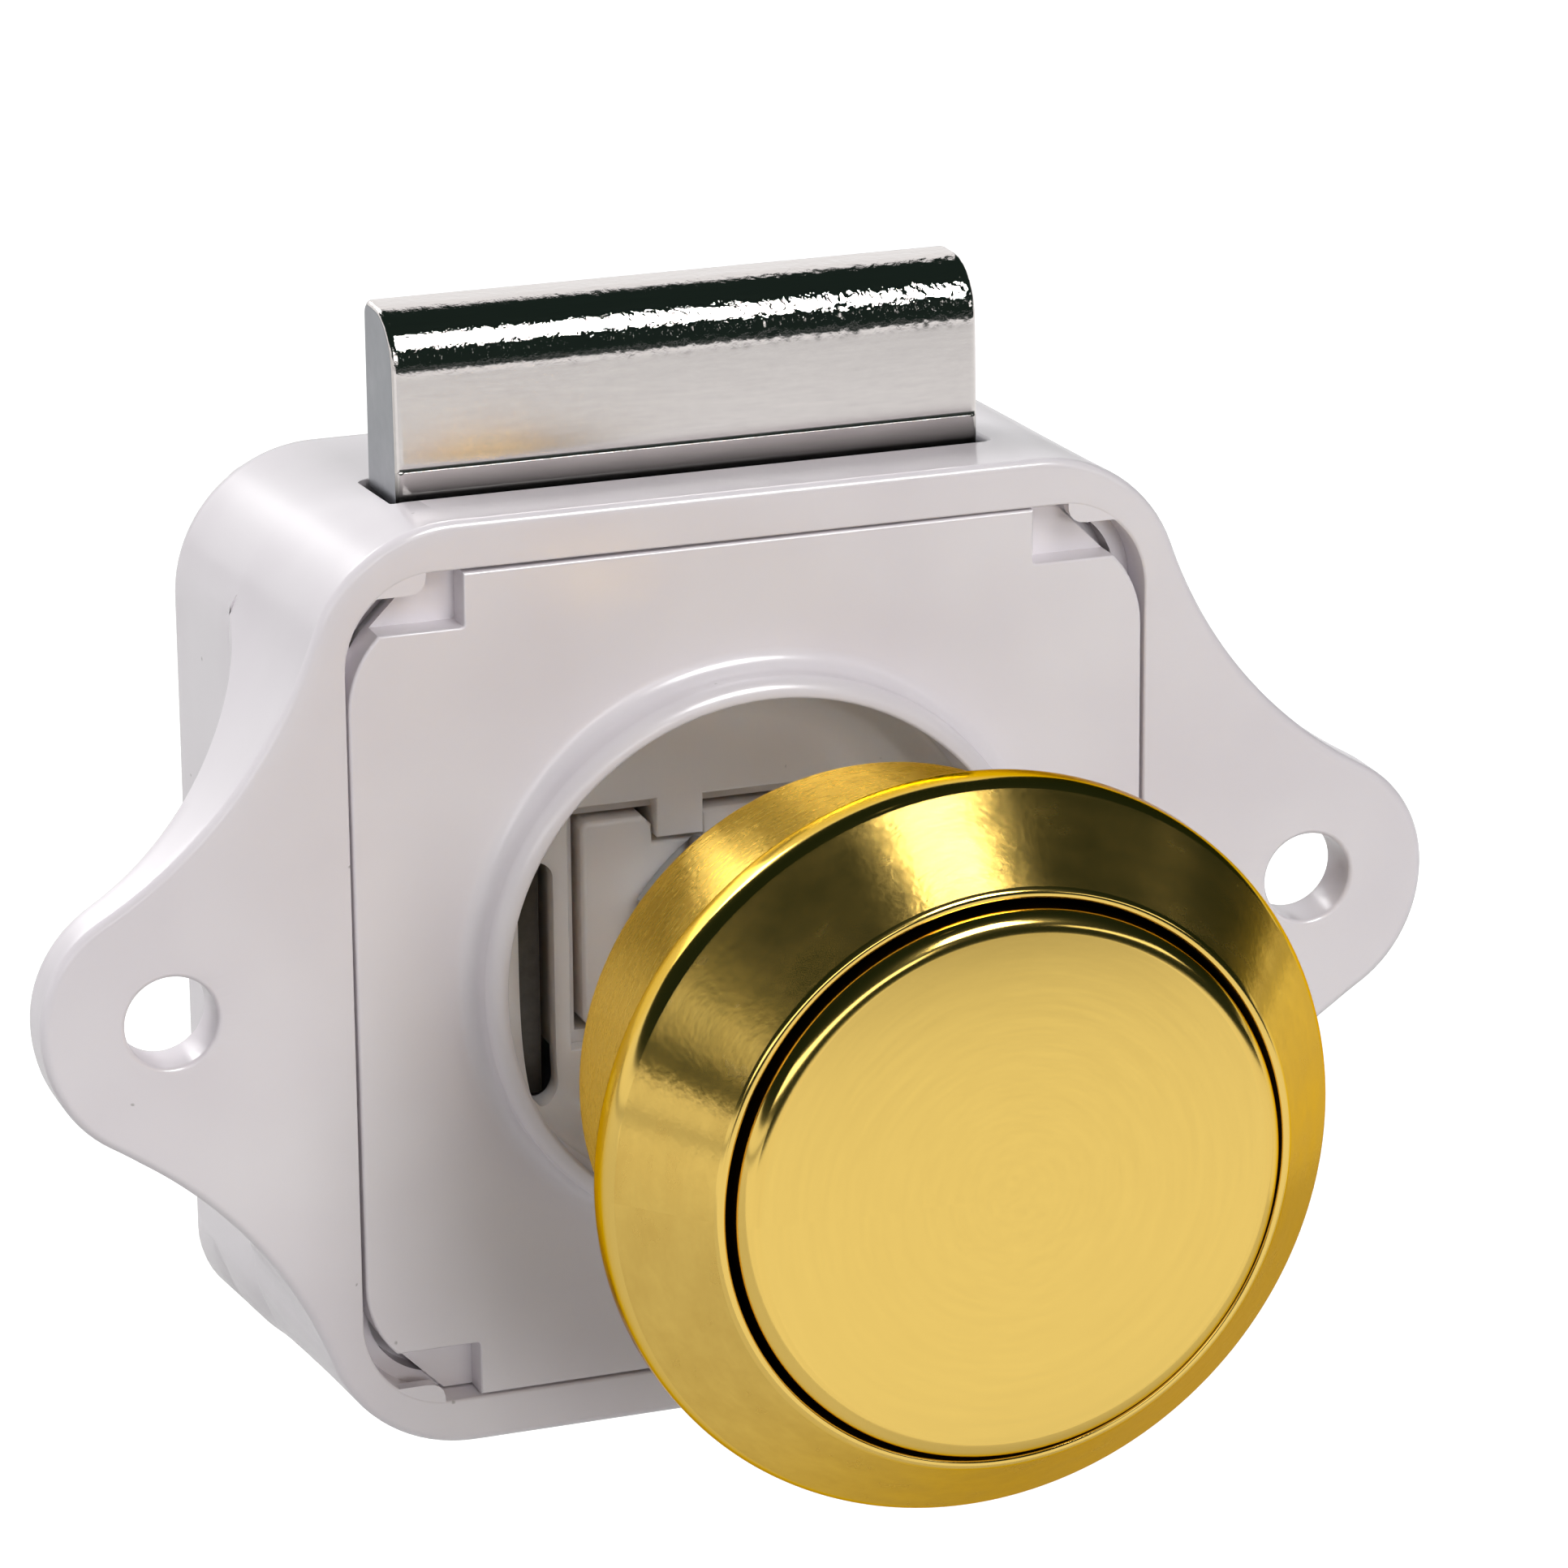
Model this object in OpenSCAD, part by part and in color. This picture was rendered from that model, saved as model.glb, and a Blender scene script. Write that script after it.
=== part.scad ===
// Push button cabinet lock, millimetres.
// X runs to the right, Y into the cabinet and Z up, the way the bolt moves.
// The origin is on the knob's axis, in the face of the case that lies against the back of the door.

/* [Case] */
// Width of the case between its ears
case_w = 43.4; // [42.4:0.2:46]
// Height of the case
case_h = 43.2; // [42.6:0.2:45]
// How far the middle of the case lies below the knob's axis
case_drop = 0.3; // [0:0.05:0.6]
// Depth of the case from the door to its back
case_depth = 22; // [21.8:0.1:24]
// Width of the case at its back
case_back_w = 42.1; // [41.7:0.1:43]
// Height of the case at its back
case_back_h = 41.9; // [41.7:0.1:42.8]
// How far the middle of the case's back lies below the knob's axis
case_back_drop = 0.95; // [0.85:0.05:1.1]
// Radius of the case's upper corners at the back
case_corner_r = 6.8; // [5.5:0.1:7]
// Radius of the case's lower corners at the back
case_low_corner_r = 4; // [3.5:0.1:6]
// Radius that rounds the back edges
case_back_r = 2.5; // [2:0.1:3]
// Thickness of the back wall
case_back_t = 1.5; // [1.2:0.1:1.7]
// Width of the ledge that the cover rests on
cover_ledge = 0.7; // [0.5:0.1:1]

/* [Ears] */
// Distance between the two screw holes
ear_spacing = 54; // [52:0.5:58]
// Diameter of a screw hole
ear_hole_d = 4.2; // [3.5:0.1:5]
// Radius of an ear's round end
ear_end_r = 5.8; // [5:0.1:6.5]
// Thickness of the ears at their ends
ear_t = 2.6; // [2:0.1:3.5]
// Radius of the hollow sweep from the back of an ear to the side of the case
flare_r = 10; // [8:0.5:11]
// Diameter of the flat seat for a screw's head on the back of an ear
screw_seat_d = 8.6; // [8:0.2:9.5]
// Radius of the plate's outline at the case corners
plate_corner_r = 6.9; // [6:0.1:7.5]
// How far the plate's corner arc lies inside the side of the case
plate_corner_inset = 1.2; // [0.8:0.1:1.6]
// Radius of the hollow sweep from case to ear
ear_sweep_r = 21.7; // [19:0.1:24]

/* [Cover] */
// Width of the cover plate
cover_w = 37.2; // [36.6:0.1:37.8]
// Height of the cover plate
cover_h = 38.6; // [38:0.1:38.8]
// Thickness of the cover plate
cover_t = 2; // [1.8:0.1:2.2]
// How much is cut off each corner of the cover
cover_cut = 4; // [3.6:0.1:4.4]
// Radius of the recess's corners around the cover
recess_corner_r = 4.2; // [3:0.1:4.4]
// Gap between the cover and the case around it
cover_gap = 0.12; // [0.05:0.01:0.2]
// Length of the step in each cover corner, along the top and bottom edges
step_l = 5.3; // [4.8:0.1:6]
// Height of that step
step_h = 2.5; // [2.3:0.05:3]
// How deep the step is cut
step_depth = 1.1; // [1.05:0.05:1.3]
// Length of the case's lip over each step
lip_l = 4.1; // [3.6:0.1:4.5]
// How far the lip reaches down over the cover's edge
lip_reach = 0.85; // [0.6:0.05:1]
// Thickness of the lip
lip_t = 0.8; // [0.6:0.05:0.85]

/* [Collar] */
// Outer diameter of the collar, which centres the lock in the door's hole
collar_od = 26.4; // [26:0.1:27]
// Inner diameter of the collar and of the bowl behind it
collar_inner_d = 24.6; // [24:0.1:25]
// How far the collar stands out in front of the case
collar_h = 2.2; // [1.6:0.1:3]
// Radius that rounds the collar's outer rim
collar_round = 0.75; // [0.4:0.05:0.8]

/* [Guide housing] */
// Depth of the bowl's floor behind the front of the case
bowl_depth = 5.6; // [5.4:0.1:5.8]
// Radius between the bowl's wall and its floor
bowl_fillet_r = 3; // [2.5:0.1:3.3]
// Wall of the bowl
bowl_wall = 1; // [0.8:0.1:1.1]
// Gap between the flange that the cover clamps and the walls of the case
flange_gap = 0.4; // [0.3:0.05:0.8]
// Thickness of the flange
flange_t = 1.2; // [1:0.1:1.6]
// How much is cut off each corner of the flange
flange_cut = 2.4; // [2:0.1:2.8]
// Wall of the channel around the slide
channel_wall = 1; // [0.8:0.1:1]
// Width of each side slot in the bowl's floor
side_slot_w = 1.7; // [1.6:0.05:1.8]
// Height of each side slot's upper end above the axis
side_slot_top = 3.3; // [2.5:0.1:4]
// Depth of each side slot's lower end below the axis
side_slot_low = 7.9; // [6:0.1:8]
// Gap between the slide and the window in the bowl's floor, at its sides
window_gap = 0.75; // [0.6:0.05:0.8]
// Gap between the slide and the window above and below it
window_rise = 0.9; // [0.7:0.05:1]
// Width of the rib that guides the slide
rib_w = 2.2; // [1.8:0.1:2.4]
// How far the rib lies to the left of the middle of the slide
rib_shift = 0.7; // [0.5:0.05:0.8]
// Gap on each side of the rib
rib_gap = 0.1; // [0.1:0.01:0.15]

/* [Slide] */
// How far the bolt and its slide lie to the left of the knob's axis
mech_shift = 0.9; // [0.6:0.05:1.1]
// Width of the slide
sled_w = 10.6; // [10.4:0.1:10.8]
// Height of the slide's top above the axis
sled_top = 4.75; // [4.65:0.05:4.85]
// Depth of the slide's underside below the axis
sled_low = 5; // [4.9:0.1:5.1]
// Place of the slide's front face at rest
sled_front = 6; // [5.9:0.1:6.1]
// Depth of the groove in the slide's top, in which the rib lies
groove_d = 1.25; // [1:0.05:1.3]

/* [Motion] */
// How far the knob comes out when it is released
knob_travel = 7; // [6.5:0.1:7.2]
// How far the knob is pushed past its rest to free the catch
knob_push = 1; // [0.8:0.1:1]
// How far the bolt draws in when the knob comes out
bolt_travel = 8; // [7.6:0.1:8.1]
// Gap between pieces that move past each other
run_gap = 0.3; // [0.25:0.01:0.35]
// Radial gap of a pin or thread in its hole
fit_gap = 0.05; // [0.03:0.01:0.08]

/* [Bolt] */
// Width of the bolt
bolt_w = 27.4; // [26:0.1:28]
// Thickness of the bolt
bolt_t = 4.5; // [4:0.1:4.6]
// Place of the bolt's front face behind the front of the case
bolt_front = 5.5; // [5.3:0.1:5.7]
// How far the bolt stands out of the case
bolt_out = 7.75; // [7.5:0.05:8.2]
// Radius of the large round on the bolt's front edge
bolt_round_r = 2.8; // [2:0.1:3]
// Radius of the small round on its back edge
bolt_back_r = 0.7; // [0.3:0.1:1]
// Thickness of the tongue below the bolt
tongue_t = 2.8; // [2.5:0.1:2.9]
// How much narrower the tongue is than the bolt, each side
tongue_step = 1.6; // [1:0.1:2]
// Height of the fork's cross bar
bar_h = 2.4; // [2.2:0.1:2.5]
// Depth of the cross bar from front to back
bar_t = 2.2; // [1.8:0.1:2.5]
// Thickness of each fork arm
arm_t = 1.5; // [1.2:0.1:1.6]
// Depth of the fork arms below the axis
arm_low = 8.2; // [7.5:0.1:8.5]
// Distance of each rivet from the middle of the bolt
rivet_x = 5; // [4:0.1:6]
// Radius of a rivet's shank
rivet_r = 0.8; // [0.6:0.05:0.85]
// Radius of a rivet's head
rivet_head_r = 1.15; // [1:0.05:1.2]
// Thickness of a rivet's head
rivet_head_t = 0.2; // [0.15:0.05:0.25]
// Radius of the drive pin
drive_pin_r = 0.8; // [0.7:0.05:0.85]
// Height of the drive pin above the axis
drive_pin_z = 0.2; // [0:0.1:0.3]
// Distance from the drive pin to the back of the slide
drive_pin_back = 1.3; // [1.2:0.1:1.4]

/* [Catch] */
// Distance between the catch arm's pivot and its tip
catch_l = 6; // [5.8:0.1:6.1]
// Distance from the slide's front face to the pivot
catch_setback = 3.5; // [3.4:0.1:3.6]
// Width of the catch arm
catch_w = 1.6; // [1.4:0.1:1.8]
// Thickness of the catch arm
catch_t = 1.2; // [1:0.1:1.3]
// Radius of the arm's tip
catch_tip_r = 0.45; // [0.4:0.05:0.5]
// Radius of the arm's pivot pin
catch_pin_r = 0.6; // [0.5:0.05:0.7]
// How many degrees the arm turns for each millimetre of knob travel
catch_rate = 1.3; // [1:0.05:1.4]
// Width of the cam plate
cam_w = 7.2; // [6.6:0.1:8]
// Thickness of the cam plate
cam_t = 2.3; // [2.2:0.1:2.6]

/* [Springs] */
// Outer diameter of a return spring
spring_od = 2.7; // [2.5:0.1:2.8]
// Wire of a return spring
spring_wire = 0.4; // [0.3:0.05:0.45]
// Distance of each spring from the middle of the slide
spring_x = 3.45; // [3.4:0.05:3.5]
// Height of the springs above the axis
spring_z = 2.9; // [2.8:0.05:2.95]
// Depth of the slide's front wall in front of a spring
spring_seat = 1.5; // [1.2:0.1:2]
// Length of the pin inside each spring
spring_pin_l = 5; // [3:0.5:6]

/* [Knob] */
// Distance from the case to the flat face of the button
button_face = 31.9; // [31.2:0.1:36]
// Length of the button's skirt
button_l = 11.5; // [10.5:0.1:12]
// Wall of the button
button_wall = 1.2; // [0.8:0.1:1.5]
// Radius of the button's front edge
button_round = 0.4; // [0.2:0.05:0.8]
// Diameter of the boss inside the button
boss_d = 9; // [8:0.1:11]
// Diameter of the threaded rod
stem_d = 5; // [4.6:0.1:5.2]
// Diameter of the rod's end in the slide
stem_end_d = 4; // [3.6:0.1:4.1]
// Length of the rod's end in the slide
stem_end_l = 8; // [7:0.1:8.5]
// Width across the flats of the lock nut
nut_af = 7; // [6.5:0.1:7.4]
// Thickness of the lock nut
nut_t = 2; // [1.6:0.1:2.4]

/* [Rosette] */
// Outer diameter of the rosette's ring
ring_d = 32.1; // [30:0.1:36]
// Outer diameter of the sleeve that enters the door
sleeve_d = 26; // [25.8:0.1:26.6]
// Wall of the sleeve
sleeve_wall = 0.8; // [0.6:0.05:1]
// Length of the sleeve behind the ring
sleeve_l = 11.1; // [9:0.1:12]
// Thickness of the ring at its outer edge
ring_edge = 1; // [0.8:0.1:1.6]
// How far the brushed bevel rises from the edge to the rim
bevel_rise = 4.5; // [3.5:0.1:5]
// How far the button stands in front of the rim
button_proud = 1.4; // [1:0.1:2]
// Width of the narrow lip round the button
rim_w = 0.45; // [0.3:0.05:0.6]
// Thickness of the floor at the end of the sleeve
sleeve_floor_t = 1.5; // [1:0.1:2]

/* [Hidden] */
$fn = 72;
white = [0.86, 0.85, 0.86];
cream = [0.78, 0.75, 0.71];
chrome = [0.72, 0.73, 0.74];
gilt = [0.84, 0.69, 0.30];
steel = [0.55, 0.55, 0.56];
dark_steel = [0.2, 0.19, 0.19];
// A hair's thickness for slices and for cuts that run past a face
eps = 0.02;
mech_x = -mech_shift;
rib_x = mech_x - rib_shift;
case_top = case_h / 2 - case_drop;
case_inner_back = case_depth - case_back_t;
cavity_w = cover_w + 2 * cover_gap - 2 * cover_ledge;
cavity_h = cover_h + 2 * cover_gap - 2 * cover_ledge;
cavity_r = 3;
post_r = 1.5;
post_inset = 1.1;
bowl_r = collar_inner_d / 2;
bowl_back = bowl_depth + bowl_wall;
sled_back = case_inner_back - knob_push - 0.2;
sled_l = sled_back - sled_front;
channel_half_w = sled_w / 2 + run_gap;
channel_top = sled_top + run_gap;
channel_low = sled_low + run_gap;
arm_in = channel_half_w + channel_wall + run_gap + 0.2;
arm_out = arm_in + arm_t;
arm_front = bowl_back + run_gap;
arm_back = case_inner_back - run_gap;
side_slot_in = channel_half_w + channel_wall + 0.2;
drive_pin_y = sled_back - drive_pin_back;
bolt_top = case_top + bolt_out;
tongue_y1 = bolt_front + bolt_t;
tongue_y0 = tongue_y1 - tongue_t;
bolt_rate = bolt_travel / knob_travel;
bar_top = cavity_h / 2 - case_drop - bolt_rate * knob_push - 0.2;
bar_low = bar_top - bar_h;
bar_y0 = tongue_y1;
rivet_z = (bar_top + bar_low) / 2;
bolt_shoulder = case_top - 0.8;
catch_pivot_y = sled_front + catch_setback;
catch_top = -sled_low + 0.2 + catch_t;
catch_pin_top = -stem_end_d / 2 - 0.2;
catch_swing = catch_l * sin(catch_rate * knob_travel) + 0.1;
cam_top = -channel_low - channel_wall;
spring_front = sled_front + spring_seat;
stem_front = -(button_face - button_wall - 1.1);
ring_front = -(button_face - button_proud);
ring_edge_y = ring_front + bevel_rise;
ring_back = ring_edge_y + ring_edge;
sleeve_end = ring_back + sleeve_l;
sleeve_bore_r = sleeve_d / 2 - sleeve_wall;
button_d = 2 * (sleeve_bore_r - run_gap);

// Points of an arc about a centre, from angle a0 to a1 in steps equal parts
function arc(centre, r, a0, a1, steps) =
    [for (i = [0:steps]) centre + r * [cos(a0 + (a1 - a0) * i / steps), sin(a0 + (a1 - a0) * i / steps)]];

// Corners of a rectangle with round corners, w wide and h high, with its middle at height cz
function round_rect(w, h, r, cz = 0, low_r = 0, steps = 6) =
    let (q = low_r > 0 ? low_r : r)
    concat(arc([w / 2 - r, cz + h / 2 - r], r, 0, 90, steps),
        arc([-w / 2 + r, cz + h / 2 - r], r, 90, 180, steps),
        arc([-w / 2 + q, cz - h / 2 + q], q, 180, 270, steps),
        arc([w / 2 - q, cz - h / 2 + q], q, 270, 360, steps));

// Centre of a circle that touches two others from outside, on the side away from the axis
function touching(c1, r1, c2, r2, r) =
    let (d = norm(c2 - c1), u = (c2 - c1) / d, a = (pow(r + r1, 2) - pow(r + r2, 2) + d * d) / (2 * d),
        h = sqrt(pow(r + r1, 2) - a * a))
    c1 + a * u + h * [-u[1], u[0]];

// Corners of a rectangle with its corners cut off, w wide and h high, in the middle of the case
function cut_rect(w, h, cut) = [for (p = [[1, 1, 0], [1, 1, 1], [-1, 1, 1], [-1, 1, 0], [-1, -1, 0],
    [-1, -1, 1], [1, -1, 1], [1, -1, 0]])
    [p[0] * (w / 2 - p[2] * cut), p[1] * (h / 2 - (1 - p[2]) * cut) - case_drop]];

function angle_of(v) = atan2(v[1], v[0]);

function mirror_x(points) = [for (i = [len(points) - 1:-1:0]) [-points[i][0], points[i][1]]];

// A flat shape in X and Z, carried from y0 to y1
module slab(y0, y1) {
    translate([0, y1, 0])
        rotate([90, 0, 0])
            linear_extrude(y1 - y0)
                children();
}

// A shape of radius and Y, turned about the knob's axis
module turned() {
    rotate([-90, 0, 0])
        rotate_extrude()
            children();
}

// A round bar along Y from y0 to y1
module bar_y(x, z, r, y0, y1) {
    translate([x, y0, z])
        rotate([-90, 0, 0])
            cylinder(r = r, h = y1 - y0);
}

// Outline of a straight slot with round ends, from point a to point b
function slot_points(a, b, r) =
    let (t = angle_of(b - a))
    concat(arc(b, r, t - 90, t + 90, 10), arc(a, r, t + 90, t + 270, 10));

// Centres of the arcs in one quarter of the plate's outline, and the height where the hollow sweep ends
corner_c = [case_w / 2 - plate_corner_inset - plate_corner_r, case_top - plate_corner_r];
ear_c = [ear_spacing / 2, 0];
sweep_c = touching(corner_c, plate_corner_r, ear_c, ear_end_r, ear_sweep_r);
sweep_top = corner_c[1] + plate_corner_r * sin(angle_of(sweep_c - corner_c));

// One quarter of the plate's outline: half of an ear's round end, hollow sweep and corner arc
function plate_quarter() =
    let (a_corner = angle_of(sweep_c - corner_c), a_ear = angle_of(sweep_c - ear_c))
    concat(arc(ear_c, ear_end_r, 0, a_ear, 8),
        arc(sweep_c, ear_sweep_r, a_ear + 180, a_corner + 180, 12),
        arc(corner_c, plate_corner_r, a_corner, 90, 8));

function plate_outline() =
    let (upper = concat(plate_quarter(), mirror_x(plate_quarter())))
    concat(upper, [for (i = [len(upper) - 2:-1:1]) [upper[i][0], lower_z(upper[i][1])]]);

// Height below the axis that mirrors height z above it; the case's lower edge lies further from the axis
function lower_z(z) = z > ear_end_r ? -2 * case_drop - z : -z * (ear_end_r + 2 * case_drop) / ear_end_r;

// The box of the case: it starts from the plate's corners and has draft and round back edges
module case_block() {
    hull() {
        slab(0, eps)
            polygon(round_rect(case_w - 2 * plate_corner_inset, case_h, plate_corner_r, -case_drop));
        for (a = [0:15:90])
            let (y = case_depth - case_back_r * (1 - sin(a)), round_in = case_back_r * (1 - cos(a)))
                slab(y - eps, y)
                    polygon(round_rect(case_back_w - 2 * round_in, case_back_h - 2 * round_in,
                        case_corner_r - round_in / 2, -case_back_drop, case_low_corner_r - round_in / 2));
    }
}

// The two ears: the plate's outline, with a back that sweeps up from the ears to the sides of the case
module ears() {
    depth = ear_t + flare_r;
    flare_x = case_back_w / 2 + flare_r - 0.25;
    side = arc([flare_x, depth], flare_r, 270, 180, 18);
    intersection() {
        slab(0, depth)
            polygon(plate_outline());
        translate([0, 0, lower_z(sweep_top)])
            linear_extrude(sweep_top - lower_z(sweep_top))
                polygon(concat([[0, 0], [ear_spacing, 0], [ear_spacing, ear_t]], side, mirror_x(side),
                    [[-ear_spacing, ear_t], [-ear_spacing, 0]]));
    }
}

// The lip that hooks over one stepped corner of the cover, drawn for the upper right
module corner_lip() {
    x = cover_w / 2 + cover_gap;
    z = cover_h / 2 + cover_gap;
    slab(0, lip_t)
        polygon([[x - 1.5, z + eps], [x - lip_l, z + eps],
            [x - lip_l, z - lip_reach], [x - 1.5, z - lip_reach]]);
}

module lock_case() {
    color(white) {
        difference() {
            union() {
                case_block();
                ears();
            }
            slab(-1, cover_t)
                polygon(round_rect(cover_w + 2 * cover_gap, cover_h + 2 * cover_gap, recess_corner_r,
                    -case_drop));
            slab(cover_t - eps, case_inner_back)
                polygon(round_rect(cavity_w, cavity_h, cavity_r, -case_drop));
            for (side = [-1, 1]) {
                bar_y(side * ear_spacing / 2, 0, ear_hole_d / 2, -1, ear_t + 1);
                bar_y(side * ear_spacing / 2, 0, screw_seat_d / 2, ear_t, ear_t + flare_r);
            }
            translate([mech_x - bolt_w / 2 - run_gap, bolt_front - run_gap, 0])
                cube([bolt_w + 2 * run_gap, bolt_t + 2 * run_gap, case_top + 1]);
        }
        translate([0, 0, -case_drop])
            for (mx = [0, 1], mz = [0, 1])
                mirror([mx, 0, 0])
                    mirror([0, 0, mz])
                        corner_lip();
        // Posts in the corners carry the guide housing's flange
        for (sx = [-1, 1], sz = [-1, 1])
            bar_y(sx * (cavity_w / 2 - post_inset), sz * (cavity_h / 2 - post_inset) - case_drop, post_r,
                cover_t + flange_t, case_inner_back + eps);
    }
}

module front_cover() {
    rim = collar_od / 2;
    color(white)
        difference() {
            union() {
                slab(0, cover_t)
                    polygon(cut_rect(cover_w, cover_h, cover_cut));
                turned()
                    polygon(concat([[bowl_r - 1, eps], [rim + 0.3, eps], [rim, -0.3]],
                        arc([rim - collar_round, -collar_h + collar_round], collar_round, 0, -90, 8),
                        [[bowl_r - 1, -collar_h]]));
            }
            bar_y(0, 0, bowl_r, -collar_h - 1, cover_t + 1);
            for (sx = [-1, 1], sz = [-1, 1])
                translate([sx * (cover_w / 2 - step_l / 2 + eps), step_depth / 2 - eps,
                    sz * (cover_h / 2 - step_h / 2 + eps) - case_drop])
                    cube([step_l, step_depth, step_h], center = true);
        }
}

// Outline of the window in the bowl's floor, whose upper corners are cut at 45 degrees
function window_points() =
    let (w = sled_w / 2 + window_gap, top = sled_top + window_rise, low = sled_low + window_rise, cut = 0.4)
    [[mech_x + w, -low], [mech_x + w, top - cut], [mech_x + w - cut, top], [mech_x - w + cut, top],
        [mech_x - w, top - cut], [mech_x - w, -low]];

module guide_housing() {
    wall_r = bowl_r + bowl_wall;
    fillet_r = bowl_fillet_r;
    centre = [bowl_r - fillet_r, bowl_depth - fillet_r];
    outer_w = 2 * (channel_half_w + channel_wall);
    color(cream)
        difference() {
            union() {
                slab(cover_t, cover_t + flange_t)
                    polygon(cut_rect(cavity_w - 2 * flange_gap, cavity_h - 2 * flange_gap, flange_cut));
                turned()
                    polygon(concat([[0, cover_t], [wall_r, cover_t]],
                        arc(centre, fillet_r + bowl_wall, 0, 90, 8), [[0, bowl_back]]));
                translate([mech_x - outer_w / 2, bowl_back - eps, -channel_low - channel_wall])
                    cube([outer_w, case_inner_back - bowl_back + eps,
                        channel_low + channel_top + 2 * channel_wall]);
            }
            turned()
                polygon(concat([[0, cover_t - 1], [bowl_r, cover_t - 1]], arc(centre, fillet_r, 0, 90, 8),
                    [[0, bowl_depth]]));
            difference() {
                union() {
                    translate([mech_x - channel_half_w, bowl_depth - 1, -channel_low])
                        cube([2 * channel_half_w, case_depth, channel_low + channel_top]);
                    slab(bowl_depth - 1, bowl_back)
                        polygon(window_points());
                }
                // The rib hangs from the top of the window and of the channel behind it
                translate([rib_x - rib_w / 2, bowl_depth, sled_top - groove_d + run_gap])
                    cube([rib_w, case_depth, groove_d + window_rise]);
            }
            for (side = [-1, 1])
                translate([mech_x + side * (side_slot_in + side_slot_w / 2) - side_slot_w / 2,
                    bowl_depth - 1.5, -side_slot_low])
                    cube([side_slot_w, bowl_wall + 2, side_slot_low + side_slot_top]);
            translate([mech_x - channel_half_w - channel_wall - 1, bowl_back + 0.4,
                drive_pin_z - drive_pin_r - run_gap])
                cube([outer_w + 2, case_depth, 2 * (drive_pin_r + run_gap)]);
            translate([mech_x - catch_w * 0.8, bowl_back + 0.4, -channel_low - channel_wall - 1])
                cube([catch_w * 1.5 + catch_swing, case_depth, channel_wall + 1.5]);
        }
}

// Sideways place of the catch arm's tip for a knob moved out by s
function tip_x(s) = mech_x + catch_l * sin(catch_rate * s);
function tip_y(s) = catch_pivot_y - s + catch_l * cos(catch_rate * s);

module cam_plate() {
    a = [tip_x(-knob_push), tip_y(-knob_push)];
    b = [tip_x(knob_travel), tip_y(knob_travel)];
    groove_r = catch_tip_r + run_gap;
    color(cream)
        difference() {
            translate([mech_x - cam_w / 2, arm_front, cam_top - cam_t])
                cube([cam_w, case_inner_back - arm_front, cam_t]);
            translate([0, 0, cam_top - cam_t + 0.4])
                linear_extrude(cam_t)
                    polygon(slot_points(a, b, groove_r));
        }
}

module spring_pin(side) {
    color(steel)
        bar_y(mech_x + side * spring_x, spring_z, spring_od / 2 - spring_wire - 0.1,
            case_inner_back - spring_pin_l, case_inner_back);
}

module spring_pin_left() {
    spring_pin(-1);
}

module spring_pin_right() {
    spring_pin(1);
}

module return_spring(side) {
    color(steel)
        difference() {
            bar_y(mech_x + side * spring_x, spring_z, spring_od / 2, spring_front, case_inner_back);
            bar_y(mech_x + side * spring_x, spring_z, spring_od / 2 - spring_wire, spring_front - 1,
                case_inner_back + 1);
        }
}

module return_spring_left() {
    return_spring(-1);
}

module return_spring_right() {
    return_spring(1);
}

module rosette() {
    edge_r = ring_d / 2;
    soft = 0.35;
    color(gilt)
        turned()
            polygon(concat([[stem_d / 2 + run_gap, sleeve_end], [sleeve_d / 2 - soft, sleeve_end],
                [sleeve_d / 2, sleeve_end - soft], [sleeve_d / 2, ring_back]],
                arc([edge_r - soft, ring_back - soft], soft, 90, 0, 4),
                arc([edge_r - soft, ring_edge_y + soft / 2], soft, 0, -45, 4),
                arc([sleeve_bore_r + rim_w, ring_front + soft], soft, -45, -90, 3),
                [[sleeve_bore_r + 0.1, ring_front], [sleeve_bore_r, ring_front + 0.1],
                [sleeve_bore_r, sleeve_end - sleeve_floor_t],
                [stem_d / 2 + run_gap, sleeve_end - sleeve_floor_t]]));
}

module push_button() {
    r = button_d / 2;
    inner_r = r - button_wall;
    color(gilt)
        turned()
            polygon(concat([[0, -button_face]],
                arc([r - button_round, -button_face + button_round], button_round, -90, 0, 6),
                [[r, -button_face + button_l], [inner_r, -button_face + button_l],
                [inner_r, -button_face + 1.6], [boss_d / 2, -button_face + 1.6],
                [boss_d / 2, -button_face + button_l - 1],
                [stem_d / 2 + fit_gap, -button_face + button_l - 1],
                [stem_d / 2 + fit_gap, stem_front], [0, stem_front]]));
}

module button_stem() {
    color(steel) {
        bar_y(0, 0, stem_d / 2, stem_front, sled_front);
        bar_y(0, 0, stem_end_d / 2, sled_front, sled_front + stem_end_l);
    }
}

module stem_nut() {
    color(steel)
        difference() {
            translate([0, sled_front - nut_t, 0])
                rotate([-90, 0, 0])
                    cylinder(d = nut_af / cos(30), h = nut_t, $fn = 6);
            bar_y(0, 0, stem_d / 2 + fit_gap, sled_front - nut_t - 1, sled_front + 1);
        }
}

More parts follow.
